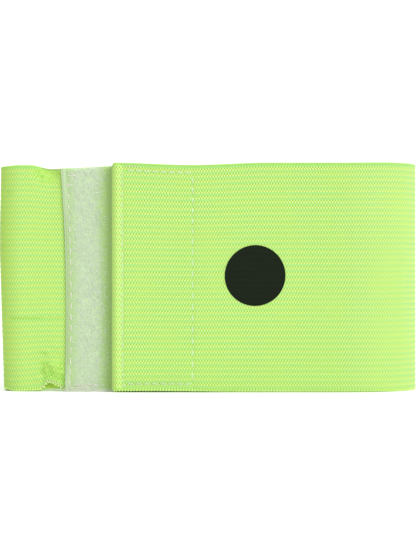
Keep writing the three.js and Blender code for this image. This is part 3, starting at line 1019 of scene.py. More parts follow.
def fibre_group():
    """Fine fibres and slow cloudiness, for cloth and tape"""
    if "Fibre mottle" in bpy.data.node_groups:
        return bpy.data.node_groups["Fibre mottle"]
    number = "NodeSocketFloat"
    tree, wiring, given, result = new_group(
        "Fibre mottle",
        (("Place", "NodeSocketVector"), ("Fineness", number)),
        (("Fibres", number), ("Cloud", number)),
    )
    stretched = wiring.add("ShaderNodeVectorMath", operation="SCALE")
    wiring.feed(stretched.inputs[0], given.outputs["Place"])
    wiring.feed(stretched.inputs["Scale"], given.outputs["Fineness"])
    fibres = wiring.noise(stretched.outputs[0], 1.0, 4.0)
    cloud = wiring.noise(given.outputs["Place"], 0.09, 3.0)
    wiring.feed(result.inputs["Fibres"], fibres)
    wiring.feed(result.inputs["Cloud"], cloud)
    return tree


def webbing_material(scene):
    """Neon elastic: light green ribs, yellow rows with bright and dark dots; painted shade in the gaps
    between the selvage beads, in the creases and round the pressed end, painted light behind the arch and a
    painted sheen on the shoulder
    """
    settings = scene.armband_webbing
    shape = StripShape(scene)
    material, wiring, shader = material_with("neon_webbing", settings.field_colour, 0.78)
    place = wiring.uv("Weave")
    split = wiring.add("ShaderNodeSeparateXYZ")
    wiring.feed(split.inputs[0], place)
    smooth = wiring.attribute("smooth_weave")
    pushed = wiring.math("MULTIPLY", smooth, 1.6)
    waves = []
    for number, start in enumerate((0.0, 40.0)):
        shifted = wiring.vector(wiring.math("ADD", split.outputs[0], start), split.outputs[1])
        wave = wiring.math("SUBTRACT", wiring.noise(shifted, 0.4, 1.0), 0.5)
        waves.append(wiring.math("ADD", split.outputs[number], wiring.math("MULTIPLY", wave, pushed)))
    weave = wiring.group(
        weave_group(),
        place=wiring.vector(waves[0], waves[1]),
        rib_pitch=settings.rib_pitch / MM,
        first_rib=settings.first_rib / MM,
        dot_pitch=settings.dot_pitch / MM,
    )
    mottle = wiring.group(fibre_group(), place=place, fineness=3.0)
    kept = wiring.math("SUBTRACT", 1.0, wiring.math("MULTIPLY", smooth, 0.6))
    on_hem = wiring.ramp(split.outputs[0], shape.hem_travel(3.1 * MM) / MM,
                         shape.hem_travel(2.3 * MM) / MM)
    crease = wiring.attribute("crease")
    fold = wiring.attribute("fold")
    clumps = wiring.math("MULTIPLY", on_hem, wiring.ramp(mottle.outputs["Fibres"], 0.42, 0.6, 0.0, 0.9))
    in_field = wiring.math("MAXIMUM", weave.outputs["Field"], clumps)
    shade = wiring.blend(in_field, tuple(settings.rib_colour), tuple(settings.field_colour))
    lighter = wiring.ramp(split.outputs[0], shape.hem_travel(4.2 * MM) / MM,
                          shape.hem_travel(3.4 * MM) / MM)
    lighter = wiring.math("MULTIPLY", lighter, wiring.ramp(
        split.outputs[0], shape.hem_travel(0.3 * MM) / MM, shape.hem_travel(2.6 * MM) / MM, 0.0, 0.3))
    shade = wiring.blend(lighter, shade, tuple(settings.hem_colour))
    shade = wiring.blend(wiring.ramp(smooth, 0.1, 0.85, 0.0, 0.7), shade, tuple(settings.smooth_colour))
    kept = wiring.math("MULTIPLY", kept, wiring.ramp(fold, 0.45, 0.95, 1.0, 0.3))
    inner_end = woven_place(shape, shape.pressed_start) / MM
    woven_x = split.outputs[0]
    kept = wiring.math("MULTIPLY", kept, wiring.ramp(woven_x, inner_end - 1.0, inner_end, 1.0, 0.78))
    begun = wiring.ramp(woven_x, *SHOULDER_BEGINS)
    turned = wiring.math("MINIMUM", begun, wiring.ramp(woven_x, *SHOULDER_ENDS))
    kept = wiring.math("MULTIPLY", kept, wiring.math("SUBTRACT", 1.0, wiring.math("MULTIPLY", turned, 0.28)))
    # Painted sheen: the colour pales towards the shoulder's sheen colour where the shoulder turns away
    begun = wiring.ramp(woven_x, *SHOULDER_SHEEN_RAMP, 0.0, SHOULDER_SHEEN_SHARE)
    ended = wiring.ramp(woven_x, *SHOULDER_ENDS, 0.0, SHOULDER_SHEEN_SHARE)
    paler = wiring.math("MINIMUM", begun, ended)
    shade = wiring.blend(paler, shade, tuple(settings.shoulder_sheen_colour))
    bright = wiring.math("MULTIPLY", weave.outputs["Bright"], kept)
    shade = wiring.blend(bright, shade, tuple(settings.bright_dot_colour))
    patchy = wiring.ramp(wiring.noise(place, 0.5, 1.0), 0.48, 0.6)
    broken = wiring.math("MULTIPLY", wiring.math("MULTIPLY", smooth, patchy), 1.5)
    deepening = wiring.math("ADD", kept, broken)
    # Painted shade: the creases strengthen the dark dots
    deepening = wiring.math("MULTIPLY", deepening, wiring.math("ADD", 1.0, crease))
    hem_depth = wiring.math("ADD", 1.0, wiring.math("MULTIPLY", on_hem, 0.35))
    deepening = wiring.math("MULTIPLY", deepening, hem_depth)
    for output, dot in (("Olive", settings.olive_dot_colour), ("Dark", settings.dark_dot_colour)):
        sunk = wiring.math("MULTIPLY", weave.outputs[output], deepening)
        shade = wiring.blend(wiring.math("MINIMUM", sunk, 1.0), shade, tuple(dot))
    # Painted shade: in the creases the sunk dots turn a deeper green, and the whole crease darkens
    sunk = wiring.math("ADD", weave.outputs["Olive"], weave.outputs["Dark"])
    creased = wiring.math("MULTIPLY", sunk, crease)
    pressed = wiring.math("MINIMUM", wiring.math("MULTIPLY", creased, 1.3), 1.0)
    deepest = tuple(channel * 0.8 for channel in settings.dark_dot_colour)
    shade = wiring.blend(pressed, shade, deepest)
    shade = wiring.blend(wiring.math("MULTIPLY", crease, 0.35), shade, tuple(settings.dark_dot_colour))
    width = settings.width / MM
    # Painted shade: towards the selvages the webbing darkens in the gaps between the beads
    to_edge = wiring.math("MINIMUM", split.outputs[1], wiring.math("SUBTRACT", width, split.outputs[1]))
    beads = wiring.math("MULTIPLY", split.outputs[0], 2 * math.pi / (settings.bead_pitch / MM))
    between = wiring.ramp(wiring.math("COSINE", beads), -0.3, 0.7, 0.2, 0.65)
    rim = wiring.math("MULTIPLY", between, wiring.ramp(to_edge, 0.75, 0.4))
    shade = wiring.blend(rim, shade, tuple(settings.bead_gap_shade_colour))
    # Painted shade: the pressed end blends towards the deeper fold shade colour
    shade = wiring.blend(wiring.math("MULTIPLY", fold, 0.5), shade, tuple(settings.fold_shade_colour))
    # Painted light: the inner face behind the arch is lightened to make up for its shade
    shade = wiring.blend(wiring.ramp(fold, 1.1, 1.9), shade, tuple(settings.inner_painted_light_colour))
    cloud = wiring.ramp(mottle.outputs["Cloud"], 0.4, 0.7, 0.0, 0.2)
    shade = wiring.blend(cloud, shade, tuple(settings.field_colour))
    wiring.feed(shader.inputs["Base Color"], shade)
    wiring.feed(shader.inputs["Roughness"], wiring.ramp(mottle.outputs["Fibres"], 0.2, 0.8, 0.7, 0.88))
    shader.inputs["Sheen Weight"].default_value = 0.15
    shader.inputs["Specular IOR Level"].default_value = 0.3
    fuzz = wiring.math("MULTIPLY", mottle.outputs["Fibres"], 0.25)
    height = wiring.math("ADD", weave.outputs["Height"], fuzz)
    wiring.bump(height, 0.12 * MM, 0.55, shader)
    return material


def thread_material(name, screen, roughness=0.45):
    """Sewing thread: a smooth filament with a fine twist"""
    material, wiring, shader = material_with(name, screen, roughness)
    place = wiring.add("ShaderNodeTexCoord").outputs["Object"]
    in_mm = wiring.add("ShaderNodeVectorMath", operation="SCALE")
    wiring.feed(in_mm.inputs[0], place)
    in_mm.inputs["Scale"].default_value = 1 / MM
    mottle = wiring.group(fibre_group(), place=in_mm.outputs[0], fineness=2.5)
    lighter = tuple(min(1.0, channel * 1.2 + 0.02) for channel in screen)
    darker = tuple(channel * 0.82 for channel in screen)
    wiring.feed(shader.inputs["Base Color"], wiring.blend(mottle.outputs["Fibres"], darker, lighter))
    wiring.bump(mottle.outputs["Fibres"], 0.05 * MM, 0.4, shader)
    return material


def bead_material(scene):
    """The selvages' beads of weft: the lower row is painted paler, as painted light on its underside"""
    settings = scene.armband_webbing
    material, wiring, shader = material_with("selvage_weft", tuple(settings.bead_colour), 0.8)
    place = wiring.add("ShaderNodeTexCoord").outputs["Object"]
    split = wiring.add("ShaderNodeSeparateXYZ")
    wiring.feed(split.inputs[0], place)
    upper = wiring.ramp(split.outputs[2], 0.3 * settings.width, 0.7 * settings.width)
    in_mm = wiring.add("ShaderNodeVectorMath", operation="SCALE")
    wiring.feed(in_mm.inputs[0], place)
    in_mm.inputs["Scale"].default_value = 1 / MM
    mottle = wiring.group(fibre_group(), place=in_mm.outputs[0], fineness=2.5)
    # Painted light: the lower row blends to the paler colour
    shade = wiring.blend(upper, tuple(settings.lower_bead_painted_light_colour), tuple(settings.bead_colour))
    wiring.feed(shader.inputs["Base Color"], shade)
    shader.inputs["Specular IOR Level"].default_value = 0.3
    wiring.bump(mottle.outputs["Fibres"], 0.05 * MM, 0.4, shader)
    return material


def loop_tape_material(scene):
    """The loop patch: a woven margin at its edge, and a soft felted ground under the loops"""
    closure = scene.armband_closure
    material, wiring, shader = material_with("loop_tape", closure.patch_colour, 0.95)
    place = wiring.uv("Weave")
    mottle = wiring.group(fibre_group(), place=place, fineness=2.8)
    fine = wiring.group(fibre_group(), place=place, fineness=6.0)
    split = wiring.add("ShaderNodeSeparateXYZ")
    wiring.feed(split.inputs[0], place)
    from_edge = split.outputs[0]
    up = split.outputs[1]
    worn_from = wiring.math("SUBTRACT", from_edge, wiring.ramp(up, 64.0, 72.0, 0.0, 1.8))
    margin = closure.margin / MM
    thickening = wiring.ramp(from_edge, margin, closure.pile_start / MM)
    worn = closure.pile_end / MM
    thinning = wiring.ramp(worn_from, worn + closure.pile_fade / MM, worn)
    cover = wiring.math("MULTIPLY", thickening, thinning)
    ground = wiring.blend(thickening, tuple(closure.sparse_colour), tuple(closure.patch_colour))
    # Worn loops show the ground, with painted shade: darker and greener towards the tab
    ground = wiring.blend(thinning, tuple(closure.worn_and_shaded_colour), ground)
    shaded = wiring.ramp(worn_from, worn + 1.5, worn + closure.pile_fade / MM + 0.4)
    ground = wiring.blend(shaded, ground, tuple(closure.shaded_colour))
    ground = wiring.blend(
        wiring.math("MULTIPLY", wiring.ramp(mottle.outputs["Fibres"], 0.42, 0.68, 0.0, 0.25), cover),
        ground, tuple(closure.pile_colour),
    )
    on_margin = wiring.ramp(from_edge, margin + 0.2, margin - 0.2)
    # Painted highlight: a paler line along the patch's rounded left edge
    edge_painted_highlight = wiring.ramp(from_edge, 0.5, 0.15, 0.0, 0.7)
    ribs = wiring.math("SINE", wiring.math("MULTIPLY", up, 2 * math.pi / 0.66))
    ribs = wiring.math("MULTIPLY", ribs, on_margin)
    near_end = wiring.math("MAXIMUM", wiring.ramp(up, 50.0, 68.0), wiring.ramp(up, 11.0, 4.0))
    margin_shade = wiring.blend(near_end, tuple(closure.margin_colour), tuple(closure.margin_end_colour))
    shade = wiring.blend(on_margin, ground, margin_shade)
    darker = tuple(channel * 0.72 for channel in closure.margin_colour)
    shade = wiring.blend(wiring.ramp(ribs, 0.0, 1.0, 0.0, 0.5), shade, darker)
    shade = wiring.blend(wiring.ramp(up, 1.1, 0.6, 0.0, 0.85), shade, tuple(closure.foot_colour))
    # Painted highlight on the patch's left edge
    shade = wiring.blend(edge_painted_highlight, shade, tuple(closure.pile_colour))
    wiring.feed(shader.inputs["Base Color"], shade)
    wiring.feed(shader.inputs["Roughness"], wiring.ramp(fine.outputs["Fibres"], 0.2, 0.8, 0.85, 1.0))
    shader.inputs["Sheen Weight"].default_value = 0.25
    shader.inputs["Specular IOR Level"].default_value = 0.2
    height = wiring.math("ADD", wiring.math("MULTIPLY", ribs, 0.35), fine.outputs["Fibres"])
    wiring.bump(height, 0.15 * MM, 0.6, shader)
    return material


def hook_tape_material(scene):
    """The hook patch: a woven ground with rows of stiff hook roots"""
    closure = scene.armband_closure
    material, wiring, shader = material_with("hook_tape", closure.hook_colour, 0.6)
    place = wiring.uv("Weave")
    split = wiring.add("ShaderNodeSeparateXYZ")
    wiring.feed(split.inputs[0], place)
    along = wiring.math("SINE", wiring.math("MULTIPLY", split.outputs[0], 2 * math.pi / 1.1))
    across = wiring.math("SINE", wiring.math("MULTIPLY", split.outputs[1], 2 * math.pi / 1.4))
    roots = wiring.ramp(wiring.math("MULTIPLY", along, across), 0.2, 0.8)
    shade = tuple(channel * 0.75 for channel in closure.hook_colour)
    wiring.feed(shader.inputs["Base Color"], wiring.blend(roots, tuple(closure.hook_colour), shade))
    wiring.bump(roots, 0.2 * MM, 0.6, shader)
    return material


def print_material(scene):
    """Black transfer film, a little glossy, with the weave showing through it"""
    settings = scene.armband_webbing
    base = tuple(scene.armband_print.print_colour)
    material, wiring, shader = material_with("black_print", base, 0.5)
    place = wiring.uv("Weave")
    weave = wiring.group(
        weave_group(),
        place=place,
        rib_pitch=settings.rib_pitch / MM,
        first_rib=settings.first_rib / MM,
        dot_pitch=settings.dot_pitch / MM,
    )
    mottle = wiring.group(fibre_group(), place=place, fineness=2.2)
    worn = tuple(channel * 1.7 + 0.004 for channel in base)
    shade = wiring.blend(wiring.math("MULTIPLY", weave.outputs["Bright"], 0.35), base, worn)
    wiring.feed(shader.inputs["Base Color"], shade)
    wiring.feed(shader.inputs["Roughness"], wiring.ramp(mottle.outputs["Fibres"], 0.3, 0.7, 0.42, 0.58))
    shader.inputs["Specular IOR Level"].default_value = 0.12
    wiring.bump(weave.outputs["Height"], 0.1 * MM, 0.5, shader)
    return material


class ARMBAND_OT_webbing(bpy.types.Operator):
    """Makes the ribbed elastic webbing, wrapped into the closed loop"""

    bl_idname = "armband.webbing"
    bl_label = "Elastic webbing"

    def execute(self, context):
        shape = StripShape(context.scene)
        bm = webbing_mesh(shape)
        piece = finish_piece("webbing", bm, [webbing_material(context.scene)], 50)
        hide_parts("elastic_band")
        return {"FINISHED"}


class ARMBAND_OT_selvage(bpy.types.Operator):
    """Makes the beads of weft and the catch-thread knots along both selvages"""

    bl_idname = "armband.selvage"
    bl_label = "Selvages"

    def execute(self, context):
        shape = StripShape(context.scene)
        pitch = shape.webbing.bead_pitch
        beads = []
        knots = []
        rng = random.Random(11)
        for travelled in spaced(0.5 * pitch, shape.end, pitch):
            for share, inset, upward in ((0.0, 0.42 * MM, -1), (1.0, -0.22 * MM, 1)):
                at_edge = share + inset / shape.width
                centre, look = shape.point(travelled, at_edge, shape.thickness / 2)
                ahead, _ = shape.point(travelled + 0.1 * MM, at_edge, shape.thickness / 2)
                gathered = shape.patch_start > travelled > shape.gather_start
                bead_length = (0.6 + 0.14 * upward) * pitch
                if gathered and upward < 0:
                    bead_length = 0.38 * pitch
                beads.append(
                    placed(centre, ahead - centre, look,
                           (bead_length, (0.48 - 0.04 * upward) * MM, shape.thickness * 0.55))
                )
                if not self.knots_show(shape, travelled, upward):
                    continue
                sizes = (0.27 * MM, 0.24 * MM, 0.18 * MM)
                below = 0.95 * MM
                if gathered:
                    below, sizes = UPPER_KNOT if upward > 0 else LOWER_KNOT
                off = share + (below + rng.uniform(-0.08, 0.08) * MM) * (-upward) / shape.width
                for inward in (-0.02 * MM, shape.thickness + 0.02 * MM):
                    knot, _ = shape.point(travelled + 0.5 * pitch, off, inward)
                    knots.append(placed(knot, ahead - centre, look, sizes))
        bead = finish_piece(
            "selvage_beads", repeated(ball(), beads), [bead_material(context.scene)]
        )
        catch = tuple(context.scene.armband_stitch.catch_colour)
        knot = finish_piece(
            "catch_thread", repeated(ball(), knots), [thread_material("catch_thread", catch)]
        )
        return {"FINISHED"}

    @staticmethod
    def knots_show(shape, travelled, upward):
        """Whether the catch thread's knots come through: at the hem and where the sewing gathers"""
        from_patch = shape.patch_start - travelled
        if upward > 0:
            at_hem = shape.hem_travel(4 * MM) < travelled < shape.hem_travel(8.5 * MM)
            return at_hem or -14 * MM < from_patch < 8 * MM
        return 0 < from_patch < 9.5 * MM


def patch_slab(shape, columns, rows, left_of, right, high_of, low, front, thickness, relief_of):
    """A flat sewn patch: a slab between a left edge, a right edge and a sloping top"""
    bm, places = slab(columns, rows)
    layer = bm.loops.layers.uv["Weave"]
    flats = {}
    for vert, (column, row, side) in places.items():
        up = row / rows
        left = left_of(up)
        x = left + (right - left) * column / columns
        z = low + (high_of(x) - low) * up
        corner = shape.closure.loop_corner
        in_x = min(x - left, right - x)
        in_z = min(z - low, high_of(x) - z)
        if in_x < corner and in_z < corner:
            away = math.hypot(corner - in_x, corner - in_z)
            if away > corner:
                pull = corner / away
                x += (1 if x - left < right - x else -1) * (corner - in_x) * (1 - pull)
                z += (1 if z - low < high_of(x) - z else -1) * (corner - in_z) * (1 - pull)
        flats[vert] = ((x - left_of(up)) / MM, z / MM)
        depth = thickness if side else -relief_of(x, z, in_x, in_z)
        vert.co = (x, front + depth, z)
    for face in bm.faces:
        for loop in face.loops:
            loop[layer].uv = flats[loop.vert]
    bmesh.ops.recalc_face_normals(bm, faces=bm.faces[:])
    return bm


class ARMBAND_OT_loop_patch(bpy.types.Operator):
    """Makes the soft loop patch: its tape, its woven margin and its pile"""

    bl_idname = "armband.loop_patch"
    bl_label = "Loop patch"

    def execute(self, context):
        shape = StripShape(context.scene)
        closure = context.scene.armband_closure
        rng = random.Random(5)
        left_edge = shape.patch_edge
        thickness = LOOP_HIGH.y - LOOP_LOW.y
        inset = 0.26 * MM

        def left_of(up):
            belly = left_edge + 2 * closure.loop_belly
            first = left_edge + (belly - left_edge) * up
            second = belly + (left_edge - closure.loop_lean - belly) * up
            return first + (second - first) * up

        def high_of(x):
            return shape.gathered_top(left_edge - x) - inset

        def relief_of(x, z, in_x, in_z):
            edge = min(in_x, in_z)
            rounded = -0.3 * MM if edge < 0.05 * MM else 0.0
            if x - left_of(z / LOOP_HIGH.z) < closure.margin:
                thinner = 0.55 * MM * (1 - smoothstep(in_x, 0, 0.9 * MM))
                return rounded - 0.2 * MM - thinner
            return rounded + rng.uniform(-0.03, 0.0) * MM

        bm = patch_slab(
            shape, 100, 150, left_of, LOOP_HIGH.x, high_of, LOOP_LOW.z, LOOP_LOW.y, thickness, relief_of
        )
        patch = finish_piece("loop_tape", bm, [loop_tape_material(context.scene)], 50)
        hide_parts("loop_patch")
        self.add_pile(context, shape, left_of, high_of, rng)
        return {"FINISHED"}

    def add_pile(self, context, shape, left_of, high_of, rng):
        """Scatters small arched loops over the patch where it shows"""
        closure = context.scene.armband_closure
        fibre = bmesh.new()
        bmesh.ops.create_circle(fibre, cap_ends=False, segments=3, radius=0.11)
        bmesh.ops.rotate(fibre, verts=fibre.verts[:], cent=(0, 0, 0),
                         matrix=Matrix.Rotation(math.radians(20), 3, "Z"))
        bmesh.ops.translate(fibre, verts=fibre.verts[:], vec=(1, 0, 0))
        bmesh.ops.spin(
            fibre, geom=fibre.verts[:] + fibre.edges[:], cent=(0, 0, 0), axis=(0, -1, 0),
            dvec=(0, 0, 0), angle=math.pi, steps=4, use_duplicate=False,
        )
        bmesh.ops.holes_fill(fibre, edges=fibre.edges[:], sides=3)
        bmesh.ops.recalc_face_normals(fibre, faces=fibre.faces[:])
        placements = []
        right = shape.hem_edge - 0.3 * MM
        count = 4600
        while len(placements) < count:
            x = rng.uniform(LOOP_LOW.x, right)
            z = rng.uniform(0.4 * MM, LOOP_HIGH.z - 0.4 * MM)
            from_edge = x - left_of(z / LOOP_HIGH.z)
            thickening = smoothstep(from_edge, closure.margin, closure.pile_start)
            worn_from = from_edge - 1.8 * MM * smoothstep(z, 64 * MM, 72 * MM)
            worn = smoothstep(worn_from, closure.pile_end, closure.pile_end + closure.pile_fade + 1.6 * MM)
            cover = (0.25 + 0.75 * thickening) * (1 - 0.97 * worn)
            if from_edge < closure.margin + 0.4 * MM or z > high_of(x) - 0.3 * MM:
                continue
            if rng.random() > cover:
                continue
            heading = rng.uniform(0, math.pi)
            along = Vector((math.cos(heading), rng.uniform(-0.1, 0.1), math.sin(heading)))
            tilt = Vector((rng.uniform(-0.6, 0.6), -1, rng.uniform(-0.6, 0.6)))
            loose = 1.5 if rng.random() < 0.08 else 1.0
            half = rng.uniform(0.3, 0.75) * loose * MM
            rise = closure.pile_height * rng.uniform(0.4, 1.0)
            thick = rng.uniform(0.33, 0.46) * MM
            placements.append(
                placed(Vector((x, LOOP_LOW.y + 0.03 * MM, z)), along, tilt, (half, thick, rise))
            )
        pile = finish_piece(
            "loop_pile", repeated(fibre, placements),
            [thread_material("pile_loops", tuple(closure.pile_colour), 0.8)],
        )


class ARMBAND_OT_hook_patch(bpy.types.Operator):
    """Makes the hook patch, which the closed tab hides"""

    bl_idname = "armband.hook_patch"
    bl_label = "Hook patch"

    def execute(self, context):
        shape = StripShape(context.scene)
        bm = patch_slab(
            shape, 30, 90, lambda up: HOOK_LOW.x, HOOK_HIGH.x, lambda x: HOOK_HIGH.z, HOOK_LOW.z,
            HOOK_LOW.y, HOOK_HIGH.y - HOOK_LOW.y, lambda x, z, in_x, in_z: 0.0,
        )
        patch = finish_piece("hook_tape", bm, [hook_tape_material(context.scene)], 50)
        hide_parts("hook_patch")
        return {"FINISHED"}


class ARMBAND_OT_stitches(bpy.types.Operator):
    """Sews the hem, the box that holds the hook patch, and the loop patch's edge"""

    bl_idname = "armband.stitches"
    bl_label = "Stitches"

    def execute(self, context):
        shape = StripShape(context.scene)
        stitch = context.scene.armband_stitch
        rng = random.Random(3)
        self.holes = []
        self.shape = shape
        tab = self.hem_stitches(shape, stitch, rng) + self.box_stitches(shape, stitch, rng)
        piece = finish_piece(
            "tab_stitches", repeated(thread_arch(), tab),
            [thread_material("tab_thread", tuple(stitch.thread_colour))],
        )
        patch = self.patch_stitches(shape, stitch, rng)
        piece = finish_piece(
            "patch_stitches", repeated(thread_arch(), patch),
            [thread_material("patch_thread", tuple(stitch.patch_thread_colour))],
        )
        # Painted shade in the needle pits
        piece = finish_piece(
            "needle_pit_shades", repeated(ball(), self.holes),
            [thread_material("needle_pit_shade", tuple(stitch.hole_shade_colour), 0.9)],
        )
        return {"FINISHED"}

    def add_pit_shade(self, travelled, across):
        """Marks the pit where the needle went in with a small dark disc, as painted shade in the pit"""
        shape = self.shape
        centre, look = shape.point(travelled, shape.share_at(across), 0.04 * MM)
        self.holes.append(placed(centre, Vector((0, 0, 1)), look, (0.18 * MM, 0.16 * MM, 0.07 * MM)))

    def hem_stitches(self, shape, stitch, rng):
        """The wavering line that closes the hem, sewn there and back"""
        made = []
        low = 1.2 * MM
        high = shape.width - 1.6 * MM
        back_shift = 0.55 * stitch.hem_pitch
        for across in spaced(low, high, stitch.hem_pitch):
            stray = stitch.hem_wander * math.exp(-across / (9 * MM))
            line = stitch.hem_line + stray + rng.uniform(-0.1, 0.1) * MM
            lean = rng.uniform(-0.1, 0.16) * MM
            start = (shape.hem_travel(line + lean), across)
            end = (shape.hem_travel(line - lean), across + stitch.hem_stitch * rng.uniform(0.85, 1.1))
            made.append(stitch_matrix(shape, start, end, 0.8 * stitch.thread, -0.03 * MM))
            if across + back_shift > high or rng.random() < 0.35:
                continue
            line -= 0.12 * MM
            start = (shape.hem_travel(line - lean), across + back_shift)
            end = (shape.hem_travel(line + lean), across + back_shift + 0.6 * stitch.hem_stitch)
            made.append(stitch_matrix(shape, start, end, 0.6 * stitch.thread, -0.08 * MM))
        return made

    def box_stitches(self, shape, stitch, rng):
        """The two rows and the far column of the box"""
        made = []
        for across in (stitch.box_row, shape.width - stitch.box_row):
            for start in spaced(stitch.box_start, stitch.box_column, stitch.row_pitch):
                slant = rng.uniform(-0.12, 0.12) * MM
                near = (shape.hem_travel(start + 0.15 * MM), across - slant)
                far = (shape.hem_travel(start + stitch.row_pitch - 0.3 * MM), across + slant)
                made.append(stitch_matrix(shape, near, far, stitch.thread, 0.0))
                self.add_pit_shade(shape.hem_travel(start), across)
        low = stitch.box_row + 0.4 * MM
        high = shape.width - stitch.box_row - 0.3 * MM
        across = low
        pitch = stitch.column_pitch
        while across + 0.7 * pitch < high:
            slant = rng.uniform(0.02, 0.16) * MM
            near = (shape.hem_travel(stitch.box_column + slant), across + 0.3 * pitch)
            far = (shape.hem_travel(stitch.box_column - slant), across + 0.86 * pitch)
            made.append(stitch_matrix(shape, near, far, stitch.thread, 0.0))
            self.add_pit_shade(shape.hem_travel(stitch.box_column), across + 0.2 * pitch)
            across += pitch
            pitch *= 1 - stitch.column_gain
        return made

    def patch_stitches(self, shape, stitch, rng):
        """The line along the loop patch's edge, its back-tacks, and the same line inside the loop"""
        made = []
        surface = LOOP_LOW.y - shape.loop.front
        left_edge = shape.patch_edge
        closure = shape.closure
        out = Vector((0, -1, 0))

        def line_x(z):
            up = z / LOOP_HIGH.z
            belly = 2 * closure.loop_belly * 2 * up * (1 - up)
            line = stitch.patch_line + 0.4 * MM * up**4
            return left_edge + belly - closure.loop_lean * up * up + line

        def sew(start, end, depth, look):
            first = Vector((start[0], shape.loop.front + depth, start[1]))
            second = Vector((end[0], shape.loop.front + depth, end[1]))
            half = (second - first).length / 2
            made.append(
                placed((first + second) / 2, second - first, look,
                       (half, stitch.thread / 2, stitch.thread / 2))
            )

        inside = LOOP_HIGH.y - shape.loop.front + closure.layer_gap + shape.thickness
        for z in spaced(1.6 * MM, LOOP_HIGH.z - 4 * MM, stitch.patch_pitch):
            lean = rng.uniform(-0.15, 0.2) * MM
            top = z + stitch.patch_pitch - 1.15 * MM
            sew((line_x(z) + lean, z), (line_x(top) - lean, top), surface + 0.08 * MM, out)
            sew((line_x(z) - lean, z), (line_x(top) + lean, top), inside, -out)
        for z, reach, rise in ((71.3 * MM, 3.4 * MM, 0.0), (67.8 * MM, 1.3 * MM, 0.8 * MM)):
            for x in spaced(line_x(z) + 0.1 * MM, line_x(z) + reach, 1.5 * MM):
                drop = rng.uniform(-0.12, 0.12) * MM + rise
                sew((x, z), (x + 1.3 * MM, z + drop), surface - 0.12 * MM, out)
        for x in spaced(line_x(0) + 0.3 * MM, line_x(0) + 9.2 * MM, 0.42 * MM):
            z = rng.uniform(1.0, 2.5) * MM
            lean = Vector((rng.uniform(0.2, 0.6), rng.uniform(-0.45, 0.45))) * MM
            sew((x - lean.x, z - lean.y), (x + lean.x, z + lean.y), surface - 0.08 * MM, out)
        return made


class ARMBAND_OT_print(bpy.types.Operator):
    """Lays the plain black disc of transfer film over the webbing's ribs"""

    bl_idname = "armband.print_disc"
    bl_label = "Printed disc"

    def execute(self, context):
        shape = StripShape(context.scene)
        settings = context.scene.armband_print
        radius = settings.diameter / 2
        rings = 30
        bm = bmesh.new()
        bmesh.ops.create_circle(bm, cap_ends=False, segments=144, radius=1)
        rim = bm.edges[:]
        for ring in range(1, rings):
            made = bmesh.ops.extrude_edge_only(bm, edges=rim)
            inner = [item for item in made["geom"] if isinstance(item, bmesh.types.BMVert)]
            rim = [item for item in made["geom"] if isinstance(item, bmesh.types.BMEdge)]
            rim = [edge for edge in rim if all(vert in inner for vert in edge.verts)]
            shrink = (rings - ring) / (rings - ring + 1)
            bmesh.ops.scale(bm, verts=inner, vec=(shrink, shrink, 1))
        bmesh.ops.contextual_create(bm, geom=rim)
        made = bmesh.ops.extrude_face_region(bm, geom=bm.faces[:])
        under = [item for item in made["geom"] if isinstance(item, bmesh.types.BMVert)]
        bmesh.ops.translate(bm, verts=under, vec=(0, 0, 1))
        layer = bm.loops.layers.uv.new("Weave")
        centre = shape.front_travel(settings.centre_x)
        flats = {}
        for vert in bm.verts:
            travelled = centre + vert.co.x * radius
            across = settings.centre_z + vert.co.y * radius
            flats[vert] = (travelled / MM, across / MM)
            inward = -rib_relief(shape.webbing, across)
            inward += 0.02 * MM if vert.co.z > 0.5 else -settings.film
            vert.co = shape.point(travelled, shape.share_at(across), inward)[0]
        for face in bm.faces:
            for loop in face.loops:
                loop[layer].uv = flats[loop.vert]
        bmesh.ops.recalc_face_normals(bm, faces=bm.faces[:])
        piece = finish_piece("print_disc", bm, [print_material(context.scene)], 50)
        return {"FINISHED"}


